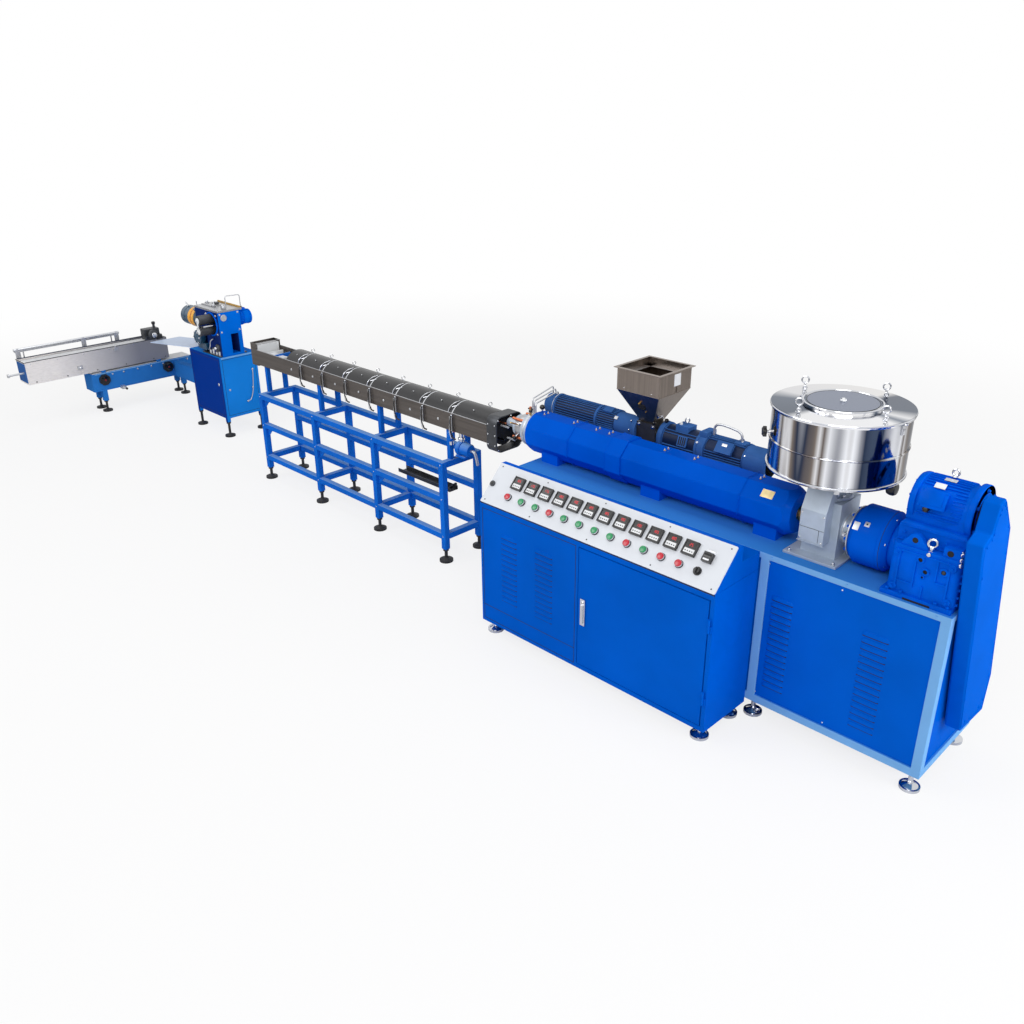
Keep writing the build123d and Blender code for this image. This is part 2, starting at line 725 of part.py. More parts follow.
side_y = base_y[0] + SIDE_AXIS_SETBACK
side_z = BASE_TOP + SIDE_AXIS_ABOVE_BASE
side_sections = [
    (SIDE_CAP_LENGTH, SIDE_CAP_R),
    (SIDE_RING_LENGTH, SIDE_RING_R),
    (SIDE_BODY_LENGTH, SIDE_R),
    (SIDE_RING_LENGTH, SIDE_RING_R),
    (SIDE_DRIVE_LENGTH, SIDE_CAP_R),
]
side_taken = sum(length for length, radius in side_sections)
side_sections.append((SIDE_UNIT_RIGHT - SIDE_LEFT - side_taken, SIDE_RING_R))
with BuildPart() as side_barrel:
    stepped_x(SIDE_LEFT, side_sections, side_y, side_z)

with BuildPart() as side_throat:
    slab(
        (SIDE_THROAT_LEFT, SIDE_THROAT_RIGHT),
        (side_y - SIDE_THROAT_WIDTH / 2, side_y + SIDE_THROAT_WIDTH / 2),
        (side_z - SIDE_THROAT_HEIGHT / 2, side_z + SIDE_THROAT_HEIGHT / 2),
    )
    rod_x((SIDE_THROAT_RIGHT, SIDE_MOTOR_LEFT), side_y, side_z, SIDE_COUPLING_R)

motor_front = [
    (MOTOR_FLANGE_LENGTH, SIDE_MOTOR_RING_R),
    (MOTOR_GEAR_LENGTH, SIDE_MOTOR_R),
    (MOTOR_RING_LENGTH, SIDE_MOTOR_RING_R),
]
motor_back = [
    (MOTOR_FAN_LENGTH, SIDE_MOTOR_FAN_R),
    (MOTOR_END_LENGTH, SIDE_MOTOR_FAN_R - MOTOR_END_LENGTH),
]
motor_taken = sum(length for length, radius in motor_front + motor_back)
motor_fins = (SIDE_MOTOR_RIGHT - SIDE_MOTOR_LEFT - motor_taken, SIDE_MOTOR_R)
terminal_x = SIDE_MOTOR_LEFT + MOTOR_FLANGE_LENGTH + MOTOR_GEAR_LENGTH / 2
with BuildPart() as side_motor:
    stepped_x(SIDE_MOTOR_LEFT, motor_front + [motor_fins] + motor_back, side_y, side_z)
    slab(
        (terminal_x - TERMINAL_SIZE / 2, terminal_x + TERMINAL_SIZE / 2),
        (side_y - TERMINAL_SIZE / 2, side_y + TERMINAL_SIZE / 2),
        (side_z, side_z + SIDE_MOTOR_R + TERMINAL_HEIGHT / 2),
    )

with BuildPart() as side_supports:
    for centre in SIDE_BRACKETS:
        slab(
            (centre - SIDE_BRACKET_WIDTH / 2, centre + SIDE_BRACKET_WIDTH / 2),
            (side_y - SIDE_BRACKET_DEPTH / 2, side_y + SIDE_BRACKET_DEPTH / 2),
            (BASE_TOP, side_z - SIDE_R / 2),
        )
    add(side_barrel.part, mode=Mode.SUBTRACT)
    add(side_motor.part, mode=Mode.SUBTRACT)

hopper_x = (SIDE_THROAT_LEFT + SIDE_THROAT_RIGHT) / 2
hopper_box_bottom = HOPPER_TOP - HOPPER_BOX_HEIGHT
hopper_neck_z = side_z + SIDE_THROAT_HEIGHT / 2


def hopper_form(inset):
    """Square box over a four-sided funnel, drawn in by the sheet's thickness."""
    box = Plane.XY.offset(hopper_box_bottom)
    centre = (hopper_x, side_y)
    with BuildSketch(box) as rim:
        with Locations(centre):
            Rectangle(HOPPER_SIDE - 2 * inset, HOPPER_SIDE - 2 * inset)
    with BuildSketch(Plane.XY.offset(hopper_neck_z)) as neck:
        with Locations(centre):
            Rectangle(HOPPER_NECK - 2 * inset, HOPPER_NECK - 2 * inset)
    funnel = loft([neck.sketch, rim.sketch], mode=Mode.PRIVATE)
    column = extrude(rim.sketch, amount=HOPPER_BOX_HEIGHT, mode=Mode.PRIVATE)
    return funnel, column


with BuildPart() as side_hopper:
    for form in hopper_form(0):
        add(form)
    for form in hopper_form(HOPPER_SHEET):
        add(form, mode=Mode.SUBTRACT)
    with BuildSketch(Plane.XY.offset(HOPPER_TOP - HOPPER_SHEET)):
        with Locations((hopper_x, side_y)):
            Rectangle(HOPPER_SIDE + 2 * HOPPER_LIP, HOPPER_SIDE + 2 * HOPPER_LIP)
            Rectangle(HOPPER_SIDE - 2 * HOPPER_SHEET, HOPPER_SIDE - 2 * HOPPER_SHEET, mode=Mode.SUBTRACT)
    extrude(amount=HOPPER_SHEET)

# Die

flange_x = (COVER_LEFT - DIE_FLANGE_LENGTH, COVER_LEFT)
die_body_x = (flange_x[0] - DIE_BODY_LENGTH, flange_x[0])
collar_right = TROUGH_RIGHT + TROUGH_COLLAR_LENGTH
with BuildPart() as die_head:
    rod_x(flange_x, axis_y, axis_z, DIE_FLANGE_R)
    rod_x(die_body_x, axis_y, axis_z, DIE_BODY_R)
    rod_x((collar_right + DIE_TIP_GAP, die_body_x[0]), axis_y, axis_z, DIE_TIP_R)

with BuildPart() as die_rods:
    with Locations(Location((0, axis_y, axis_z), (0, 90, 0))):
        with PolarLocations(DIE_ROD_CIRCLE_R, 4, start_angle=45):
            with Locations((0, 0, (die_body_x[0] + flange_x[0]) / 2)):
                Cylinder(DIE_ROD_R, die_body_x[1] - die_body_x[0])

# Rigid pipes from the die's flange up and over to the side extruder's left end
side_inlet_x = SIDE_LEFT + SIDE_CAP_LENGTH / 2
pipe_foot_z = axis_z + DIE_FLANGE_R
pipe_top_z = pipe_foot_z + PIPE_RISE


def pipe(points):
    """Round pipe along straight runs joined by tangent bends."""
    with BuildLine():
        path = FilletPolyline(*points, radius=PIPE_BEND)
    with BuildSketch(Plane(origin=path @ 0, z_dir=path % 0)) as section:
        Circle(PIPE_R)
    sweep(section.sketch, path=path)


with BuildPart() as die_pipes:
    for number in range(PIPE_COUNT):
        inlet_x = side_inlet_x + (number - 1) * PIPE_PITCH
        flange_pipe_x = (flange_x[0] + flange_x[1]) / 2 + (number - 1) * PIPE_R * 3
        pipe(
            (
                (flange_pipe_x, axis_y, pipe_foot_z - PIPE_SEAT),
                (flange_pipe_x, axis_y, pipe_top_z - number * PIPE_STEP),
                (inlet_x, side_y, pipe_top_z - number * PIPE_STEP),
                (inlet_x, side_y, side_z + SIDE_CAP_R),
            )
        )
    rod_x((flange_x[0] - 1, flange_x[1] + 1), axis_y, axis_z, DIE_FLANGE_R, mode=Mode.SUBTRACT)
    rod_x((SIDE_LEFT, SIDE_UNIT_RIGHT), side_y, side_z, SIDE_CAP_R, mode=Mode.SUBTRACT)

# Cooling trough

trough_x = (TROUGH_RIGHT - TROUGH_LENGTH, TROUGH_RIGHT)
trough_y = (TROUGH_FRONT, TROUGH_FRONT + TROUGH_WIDTH)
trough_mid_y = (trough_y[0] + trough_y[1]) / 2

with BuildPart() as trough_channel:
    slab(trough_x, trough_y, (TROUGH_BOTTOM, TROUGH_TOP))
    slab(
        (trough_x[0] - TROUGH_SHEET, trough_x[1] - TROUGH_SHEET),
        (trough_y[0] + TROUGH_SHEET, trough_y[1] - TROUGH_SHEET),
        (TROUGH_BOTTOM + TROUGH_SHEET, TROUGH_TOP + TROUGH_SHEET),
        mode=Mode.SUBTRACT,
    )

with BuildPart() as trough_end_box:
    slab(
        (trough_x[0] - END_BOX_LENGTH, trough_x[0]),
        trough_y,
        (TROUGH_BOTTOM - END_BOX_BELOW, TROUGH_TOP + END_BOX_ABOVE),
    )
    slab(
        (trough_x[0] - END_BOX_LENGTH + TROUGH_SHEET, trough_x[0] + TROUGH_SHEET),
        (trough_y[0] + TROUGH_SHEET, trough_y[1] - TROUGH_SHEET),
        (TROUGH_BOTTOM + TROUGH_SHEET, TROUGH_TOP + END_BOX_ABOVE + TROUGH_SHEET),
        mode=Mode.SUBTRACT,
    )

collar_y = (trough_y[0] - TROUGH_COLLAR_OUT, trough_y[1] + TROUGH_COLLAR_OUT)
collar_z = (TROUGH_BOTTOM - TROUGH_COLLAR_BELOW, TROUGH_TOP + TROUGH_COLLAR_ABOVE)
with BuildPart() as trough_collar:
    with BuildSketch(Plane.YZ.offset(TROUGH_RIGHT)):
        with Locations((sum(collar_y) / 2, sum(collar_z) / 2)):
            RectangleRounded(
                collar_y[1] - collar_y[0], collar_z[1] - collar_z[0], TROUGH_COLLAR_CORNER
            )
            RectangleRounded(
                collar_y[1] - collar_y[0] - 2 * TROUGH_COLLAR_WALL,
                collar_z[1] - collar_z[0] - 2 * TROUGH_COLLAR_WALL,
                TROUGH_COLLAR_CORNER - TROUGH_COLLAR_WALL,
                mode=Mode.SUBTRACT,
            )
    extrude(amount=TROUGH_COLLAR_LENGTH)

hoops = [HOOP_FIRST_X + i * HOOP_PITCH for i in range(HOOP_COUNT)]
cover_ends = [HOOP_FIRST_X - COVER_FIRST_OVERHANG] + hoops + [TROUGH_RIGHT]
half_width = TROUGH_WIDTH / 2
dome_r = (half_width ** 2 + COVER_RISE ** 2) / (2 * COVER_RISE)
dome_z = TROUGH_TOP + COVER_RISE - dome_r


def dome(radius, x, mode=Mode.ADD):
    """Round-backed length above the trough's rim, about the covers' own centre."""
    with BuildSketch(Plane.YZ.offset(x[0])) as outline:
        with Locations((trough_mid_y, dome_z)):
            Circle(radius)
        with Locations((trough_mid_y, TROUGH_TOP)):
            Rectangle(4 * radius, 4 * radius, align=(Align.CENTER, Align.MAX), mode=Mode.SUBTRACT)
    extrude(outline.sketch, amount=x[1] - x[0], mode=mode)


with BuildPart() as trough_covers:
    for left, right in zip(cover_ends[:-1], cover_ends[1:]):
        span = (left + COVER_HOOP_GAP / 2, right - COVER_HOOP_GAP / 2)
        dome(dome_r, span)
        dome(dome_r - COVER_SHEET, (span[0] - 1, span[1] + 1), mode=Mode.SUBTRACT)

with BuildPart() as trough_hoops:
    for hoop_x in hoops:
        span = (hoop_x - HOOP_WIDTH / 2, hoop_x + HOOP_WIDTH / 2)
        dome(dome_r, span)
        dome(dome_r - HOOP_THICKNESS, (span[0] - 1, span[1] + 1), mode=Mode.SUBTRACT)

# Frame below the trough

stand_x = (STAND_LEFT, STAND_RIGHT)
stand_y = (STAND_FRONT, STAND_FRONT + STAND_DEPTH)
bay = (stand_x[1] - stand_x[0] - STAND_TUBE) / STAND_BAYS
stand_posts = [stand_x[0] + i * bay for i in range(STAND_BAYS + 1)]
rail_levels = (STAND_TOP - STAND_TUBE, STAND_MID_RAIL, STAND_LOW_RAIL)


def stand_side(start_y):
    """One long side: posts from the feet to the top, with three rails between them."""
    side = (start_y, start_y + STAND_TUBE)
    for start_x in stand_posts:
        slab((start_x, start_x + STAND_TUBE), side, (STAND_BOTTOM, STAND_TOP))
    for level in rail_levels:
        slab(stand_x, side, (level, level + STAND_TUBE))


with BuildPart() as stand_front_side:
    stand_side(stand_y[0])

with BuildPart() as stand_back_side:
    stand_side(stand_y[1] - STAND_TUBE)

cross_y = (stand_y[0] + STAND_TUBE, stand_y[1] - STAND_TUBE)
with BuildPart() as stand_cross_members:
    for start_x in stand_posts:
        for level in (rail_levels[0], rail_levels[2]):
            slab((start_x, start_x + STAND_TUBE), cross_y, (level, level + STAND_TUBE))

    for start_x in stand_posts:
        for start_y in (cross_y[0] + STAND_UPRIGHT_INSET, cross_y[1] - STAND_UPRIGHT_INSET - STAND_UPRIGHT):
            slab(
                (start_x, start_x + STAND_UPRIGHT),
                (start_y, start_y + STAND_UPRIGHT),
                (STAND_TOP - STAND_TUBE, TROUGH_BOTTOM),
            )

with BuildPart() as stand_feet:
    for start_x in stand_posts:
        for start_y in (stand_y[0], stand_y[1] - STAND_TUBE):
            foot(start_x + STAND_TUBE / 2, start_y + STAND_TUBE / 2, STAND_BOTTOM)

# Haul-off and cutter

puller_x = (PULLER_LEFT, PULLER_LEFT + PULLER_LENGTH)
puller_y = (PULLER_FRONT, PULLER_FRONT + PULLER_DEPTH)
with BuildPart() as puller_cabinet:
    slab(puller_x, puller_y, (PULLER_BOTTOM, PULLER_TOP))
    for start_x in (puller_x[0], puller_x[1] - PULLER_TUBE):
        for start_y in (puller_y[0], puller_y[1] - PULLER_TUBE):
            slab(
                (start_x, start_x + PULLER_TUBE),
                (start_y, start_y + PULLER_TUBE),
                (PULLER_BOTTOM - PULLER_TUBE, PULLER_BOTTOM),
            )

with BuildPart() as puller_feet:
    for start_x in (puller_x[0], puller_x[1] - PULLER_TUBE):
        for start_y in (puller_y[0], puller_y[1] - PULLER_TUBE):
            foot(start_x + PULLER_TUBE / 2, start_y + PULLER_TUBE / 2, PULLER_BOTTOM - PULLER_TUBE)

head_x = (puller_x[1] - HEAD_LENGTH, puller_x[1])
head_y = (puller_y[0] + HEAD_FRONT_STEP, puller_y[0] + HEAD_FRONT_STEP + HEAD_DEPTH)
head_top = PULLER_TOP + HEAD_HEIGHT
head_mid_x = sum(head_x) / 2
gear_x = (head_x[0] - PULLER_GEAR_LENGTH, head_x[0])
with BuildPart() as puller_head:
    slab(head_x, head_y, (PULLER_TOP, head_top))
    slab(gear_x, head_y, (PULLER_MOTOR_Z - PULLER_MOTOR_R, head_top))
    slab(
        (gear_x[0] + HEAD_GEAR_INSET, gear_x[1]),
        (head_y[0] + HEAD_GEAR_INSET, head_y[1] - HEAD_GEAR_INSET),
        (PULLER_TOP, head_top),
    )
    slab(
        (head_x[0] + HEAD_COLUMN_INSET, head_x[1] + HEAD_PLATE),
        (head_y[0] + HEAD_COLUMN_DEPTH, head_y[1] - HEAD_POST),
        (PULLER_TOP + HEAD_PLATE, PULLER_TOP + HEAD_COLUMN_HEIGHT),
        mode=Mode.SUBTRACT,
    )
    slab(
        (head_mid_x - HEAD_WINDOW_WIDTH / 2, head_mid_x + HEAD_WINDOW_WIDTH / 2),
        (head_y[0], head_y[0] + HEAD_WINDOW_DEPTH),
        (ROLLER_NIP_Z - HEAD_WINDOW_HEIGHT / 2, ROLLER_NIP_Z + HEAD_WINDOW_HEIGHT / 2),
        mode=Mode.SUBTRACT,
    )

with BuildPart() as puller_rollers:
    for side in (-1, 1):
        centre_z = ROLLER_NIP_Z + side * (ROLLER_R + ROLLER_GAP / 2)
        rod_y(head_mid_x, (head_y[0] - ROLLER_OUT, head_y[0] + HEAD_WINDOW_DEPTH), centre_z, ROLLER_R)

with BuildPart() as head_motor:
    rod_y(head_mid_x + HEAD_MOTOR_SHIFT, (head_y[1], head_y[1] + HEAD_MOTOR_LENGTH), HEAD_MOTOR_Z, HEAD_MOTOR_R)

plate_x = (head_x[1] - HEAD_PLATE_LENGTH, head_x[1])
with BuildPart() as head_top_plate:
    slab(plate_x, (head_y[0], head_y[0] + HEAD_PLATE_DEPTH), (head_top, head_top + HEAD_PLATE))

with BuildPart() as puller_motor:
    rod_x((gear_x[0] - PULLER_MOTOR_LENGTH, gear_x[0]), sum(head_y) / 2, PULLER_MOTOR_Z, PULLER_MOTOR_R)

# Rigid air pipe arched from the top plate over to the head's motor
air_z = head_top + HEAD_PLATE
with BuildPart() as air_pipes:
    start_y = head_y[0] + AIR_SETBACK
    end_y = start_y + AIR_SPAN
    pipe(
        (
            (head_mid_x, start_y, air_z),
            (head_mid_x, start_y, air_z + AIR_RISE),
            (head_mid_x + HEAD_MOTOR_SHIFT, end_y, air_z + AIR_RISE),
            (head_mid_x + HEAD_MOTOR_SHIFT, end_y, HEAD_MOTOR_Z),
        )
    )
    rod_y(
        head_mid_x + HEAD_MOTOR_SHIFT,
        (head_y[1], head_y[1] + HEAD_MOTOR_LENGTH),
        HEAD_MOTOR_Z,
        HEAD_MOTOR_R,
        mode=Mode.SUBTRACT,
    )

# Collecting conveyor

conveyor_x = (CONVEYOR_LEFT, CONVEYOR_RIGHT)
conveyor_y = (CONVEYOR_FRONT, CONVEYOR_BACK)
link_y = (puller_y[0] + LINK_SETBACK, puller_y[0] + LINK_SETBACK + LINK_DEPTH)
collect_right = CONVEYOR_RIGHT - CONVEYOR_SHEET
collect_x = (collect_right - COLLECT_WIDTH, collect_right)
collect_y = (COLLECT_FRONT, COLLECT_BACK)
collect_z = (CONVEYOR_TOP + COLLECT_RAISE, CONVEYOR_TOP + COLLECT_RAISE + COLLECT_HEIGHT)
with BuildPart() as conveyor_beam:
    slab(conveyor_x, conveyor_y, (CONVEYOR_BOTTOM, CONVEYOR_TOP))
    slab((conveyor_x[1], puller_x[0]), link_y, (CONVEYOR_BOTTOM, CONVEYOR_BOTTOM + LINK_HEIGHT))
    for foot_y in (CONVEYOR_FOOT_FRONT, CONVEYOR_FOOT_BACK):
        for start_x in (conveyor_x[0], conveyor_x[1] - CONVEYOR_LEG):
            slab(
                (start_x, start_x + CONVEYOR_LEG),
                (foot_y - CONVEYOR_LEG / 2, foot_y + CONVEYOR_LEG / 2),
                (CONVEYOR_LEG_BOTTOM, CONVEYOR_BOTTOM),
            )
    for saddle_y in (CONVEYOR_FOOT_FRONT, CONVEYOR_PULLEY_BACK - 2 * CONVEYOR_PULLEY_R):
        slab(collect_x, (saddle_y, saddle_y + CONVEYOR_LEG), (CONVEYOR_TOP, collect_z[0]))

with BuildPart() as conveyor_pulley_covers:
    for pulley_y in (CONVEYOR_PULLEY_FRONT, CONVEYOR_PULLEY_BACK):
        eight_sided_x(
            (conveyor_x[1], conveyor_x[1] + CONVEYOR_HUB_LENGTH),
            pulley_y,
            CONVEYOR_PULLEY_Z,
            CONVEYOR_PULLEY_R,
            PULLEY_CORNER,
        )

with BuildPart() as conveyor_feet:
    for foot_y in (CONVEYOR_FOOT_FRONT, CONVEYOR_FOOT_BACK):
        for start_x in (conveyor_x[0], conveyor_x[1] - CONVEYOR_LEG):
            foot(start_x + CONVEYOR_LEG / 2, foot_y, CONVEYOR_LEG_BOTTOM)

with BuildPart() as collecting_trough:
    slab(collect_x, collect_y, collect_z)
    slab(
        (collect_x[0] + COLLECT_SHEET, collect_x[1] - COLLECT_SHEET),
        (collect_y[0] + COLLECT_SHEET, collect_y[1] - COLLECT_SHEET),
        (collect_z[0] + COLLECT_SHEET, collect_z[1] + COLLECT_SHEET),
        mode=Mode.SUBTRACT,
    )

handle_z = (collect_z[0] + collect_z[1]) / 2
with BuildPart() as collecting_handle:
    rod_y(collect_right - COLLECT_HANDLE_INSET, (collect_y[0] - COLLECT_HANDLE_OUT, collect_y[0]),
          handle_z, COLLECT_HANDLE_R)
    rod_y(
        collect_right - COLLECT_HANDLE_INSET,
        (collect_y[0] - COLLECT_HANDLE_OUT - COLLECT_KNOB_R, collect_y[0] - COLLECT_HANDLE_OUT),
        handle_z,
        COLLECT_KNOB_R,
    )

rail_x = collect_x[0] - RAIL_R
rail_z_axis = collect_z[1] + RAIL_ABOVE
with BuildPart() as guide_rail:
    rod_y(rail_x, (collect_y[0], collect_y[0] + RAIL_LENGTH), rail_z_axis, RAIL_R)
    for post_y in (collect_y[0] + RAIL_POST_MARGIN, collect_y[0] + RAIL_LENGTH - RAIL_POST_MARGIN):
        rod_z(rail_x, post_y, (collect_z[1] - 2 * RAIL_ABOVE, rail_z_axis), RAIL_POST_R)
        slab(
            (rail_x - RAIL_POST_R, collect_x[0]),
            (post_y - RAIL_POST_R, post_y + RAIL_POST_R),
            (collect_z[1] - 2 * RAIL_ABOVE, collect_z[1] - RAIL_ABOVE),
        )

chute_y = (puller_y[0] + HEAD_FRONT_STEP, puller_y[0] + HEAD_FRONT_STEP + CHUTE_DEPTH)
chute_low = collect_z[1]
with BuildPart() as discharge_chute:
    prism_y(
        (
            (puller_x[0], PULLER_TOP - CHUTE_PLATE),
            (puller_x[0], PULLER_TOP),
            (collect_x[1] + CHUTE_DROP, chute_low + CHUTE_PLATE),
            (collect_x[1] + CHUTE_DROP, chute_low),
        ),
        chute_y,
    )

pieces = {
    "control_cabinet": control_cabinet,
    "cabinet_door": cabinet_door,
    "door_handle": door_handle,
    "control_console": control_console,
    "control_panel": control_panel,
    "temperature_controllers": temperature_controllers,
    "red_buttons": red_buttons,
    "green_buttons": green_buttons,
    "rotary_switches": rotary_switches,
    "cabinet_feet": cabinet_feet,
    "base_frame": base_frame,
    "base_panels": base_panels,
    "base_feet": base_feet,
    "barrel_cover_front": barrel_cover_front,
    "barrel_cover_middle": barrel_cover_middle,
    "barrel_cover_rear": barrel_cover_rear,
    "barrel_supports": barrel_supports,
    "screw_collar": screw_collar,
    "bed_plate": bed_plate,
    "feed_throat": feed_throat,
    "coupling_guard": coupling_guard,
    "gearbox_housing": gearbox_housing,
    "drive_motor": drive_motor,
    "belt_guard": belt_guard,
    "tank_floor": tank_floor,
    "tank_wall": tank_wall,
    "tank_lid": tank_lid,
    "tank_eyebolts": tank_eyebolts,
    "side_barrel": side_barrel,
    "side_throat": side_throat,
    "side_motor": side_motor,
    "side_supports": side_supports,
    "side_hopper": side_hopper,
    "die_head": die_head,
    "die_rods": die_rods,
    "die_pipes": die_pipes,
    "trough_channel": trough_channel,
    "trough_end_box": trough_end_box,
    "trough_collar": trough_collar,
    "trough_covers": trough_covers,
    "trough_hoops": trough_hoops,
    "stand_front_side": stand_front_side,
    "stand_back_side": stand_back_side,
    "stand_cross_members": stand_cross_members,
    "stand_feet": stand_feet,
    "puller_cabinet": puller_cabinet,
    "puller_feet": puller_feet,
    "puller_head": puller_head,
    "puller_rollers": puller_rollers,
    "head_motor": head_motor,
    "head_top_plate": head_top_plate,
    "air_pipes": air_pipes,
    "puller_motor": puller_motor,
    "conveyor_beam": conveyor_beam,
    "conveyor_pulley_covers": conveyor_pulley_covers,
    "conveyor_feet": conveyor_feet,
    "collecting_trough": collecting_trough,
    "collecting_handle": collecting_handle,
    "guide_rail": guide_rail,
    "discharge_chute": discharge_chute,
}

# The written pieces stand with the middle of the whole line's plan at the origin.
bounds = [piece.part.bounding_box() for piece in pieces.values()]
middle_x = (min(b.min.X for b in bounds) + max(b.max.X for b in bounds)) / 2
middle_y = (min(b.min.Y for b in bounds) + max(b.max.Y for b in bounds)) / 2
for label, piece in pieces.items():
    placed = piece.part.moved(Location((-middle_x, -middle_y, 0)))
    placed.label = label
    export_step(placed, f"parts/{label}.step")
print(len(pieces), "pieces; plan centre at", round(middle_x, 3), round(middle_y, 3))
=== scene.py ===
import math

import bmesh
import bpy
from mathutils import Matrix, Vector


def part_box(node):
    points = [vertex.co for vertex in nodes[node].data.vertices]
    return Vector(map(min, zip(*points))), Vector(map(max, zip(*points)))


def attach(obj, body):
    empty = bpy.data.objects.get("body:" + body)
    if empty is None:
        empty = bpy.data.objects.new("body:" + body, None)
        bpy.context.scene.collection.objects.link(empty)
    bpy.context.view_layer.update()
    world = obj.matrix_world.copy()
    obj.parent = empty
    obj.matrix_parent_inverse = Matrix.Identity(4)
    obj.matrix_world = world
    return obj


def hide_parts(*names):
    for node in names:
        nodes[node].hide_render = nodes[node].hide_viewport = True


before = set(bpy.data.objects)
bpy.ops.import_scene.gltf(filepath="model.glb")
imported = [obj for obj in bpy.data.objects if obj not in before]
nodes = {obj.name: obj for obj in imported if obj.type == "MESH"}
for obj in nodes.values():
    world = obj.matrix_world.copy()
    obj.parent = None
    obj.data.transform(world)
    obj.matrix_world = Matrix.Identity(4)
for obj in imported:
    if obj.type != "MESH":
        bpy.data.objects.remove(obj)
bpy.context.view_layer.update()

scene = bpy.context.scene
scene.view_settings.view_transform = "Standard"

# Places are taken from the frame: the console's front lower right corner is the line's datum.
console_low, console_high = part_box("control_console")
DATUM = Vector((console_high.x, console_low.y, 0))
UP = Vector((0, 0, 1))
RIGHT = Vector((1, 0, 0))
BACK = Vector((0, 1, 0))
FRONT = -BACK
LEFT = -RIGHT

# Axes of the main barrel, the side extruder and the hopper tank, in millimetres from the datum
MAIN = AXIS_Y, AXIS_Z = 560, 1030
SIDE = SIDE_Y, SIDE_Z = 824, 1102
TANK_X = 190


def place(x, y, z):
    """Point of the frame from millimetres right of, behind and above the datum."""
    return DATUM + Vector((x, y, z)) / 1000


# Colours


def srgb(red, green, blue):
    """Linear colour of a 0 to 255 screen colour."""
    values = []
    for value in (red, green, blue):
        share = value / 255
        values.append(share / 12.92 if share <= 0.04045 else ((share + 0.055) / 1.055) ** 2.4)
    return (*values, 1)


CABINET_BLUE = srgb(0, 90, 200)
DEEP_BLUE = srgb(0, 90, 212)
PALE_BLUE = srgb(118, 172, 224)
SLATE_BLUE = srgb(56, 98, 160)
STAND_BLUE = srgb(20, 104, 208)
PANEL_WHITE = srgb(216, 220, 227)
CHROME = srgb(206, 208, 213)
STEEL = srgb(176, 177, 180)
BROWN_STEEL = srgb(98, 92, 88)
DARK_STEEL = srgb(70, 72, 76)
CAST_GREY = srgb(176, 188, 202)
BRASS = srgb(196, 158, 92)
BLACK = srgb(24, 24, 26)
RED = srgb(190, 22, 44)
GREEN = srgb(24, 140, 84)
YELLOW = srgb(238, 168, 28)

# Painted reflections: light and dark streaks that the polished tank would mirror, put into its colour by
# their place in its grain
PAINTED_REFLECTION_BANDS = (
    (0.20, srgb(74, 86, 106)), (0.34, srgb(40, 50, 70)), (0.40, srgb(140, 142, 150)),
    (0.455, srgb(238, 240, 244)), (0.50, srgb(104, 94, 88)), (0.535, srgb(228, 228, 230)),
    (0.575, srgb(128, 118, 110)), (0.62, srgb(44, 54, 76)), (0.68, srgb(206, 208, 214)),
    (0.90, srgb(96, 100, 112)),
)
# The same painted reflections by the turn round the lid: the radial gradient runs from 0 to 1 for one turn
PAINTED_LID_REFLECTIONS = (
    (0.00, srgb(214, 214, 216)), (0.06, srgb(70, 84, 104)), (0.19, srgb(58, 72, 92)),
    (0.22, srgb(232, 232, 234)), (0.44, srgb(236, 236, 238)), (0.47, srgb(88, 102, 122)),
    (0.50, srgb(226, 226, 228)), (0.555, srgb(60, 74, 94)), (0.68, srgb(52, 66, 88)),
    (0.71, srgb(228, 226, 224)), (1.00, srgb(214, 214, 216)),
)

# Finishes


def shade(colour, factor):
    """Colour made lighter or darker by a factor."""
    return (*[min(1, part * factor) for part in colour[:3]], 1)


def set_stops(ramp, stops):
    """Gives a colour ramp these stops, from low to high."""
    ramp.elements[0].position, ramp.elements[0].color = stops[0]
    ramp.elements[1].position, ramp.elements[1].color = stops[-1]
    for position, tone in stops[1:-1]:
        ramp.elements.new(position).color = tone


COAT_ROUGHNESS = 0.12
BUMP_DEPTH = 0.0006


def add_node(tree, kind, inputs=(), **settings):
    """New shader node; each input takes a value or another node's output."""
    new = tree.nodes.new(kind)
    for key, value in settings.items():
        setattr(new, key, value)
    for key, value in dict(inputs).items():
        if isinstance(value, bpy.types.NodeSocket):
            tree.links.new(value, new.inputs[key])
        else:
            new.inputs[key].default_value = value
    return new


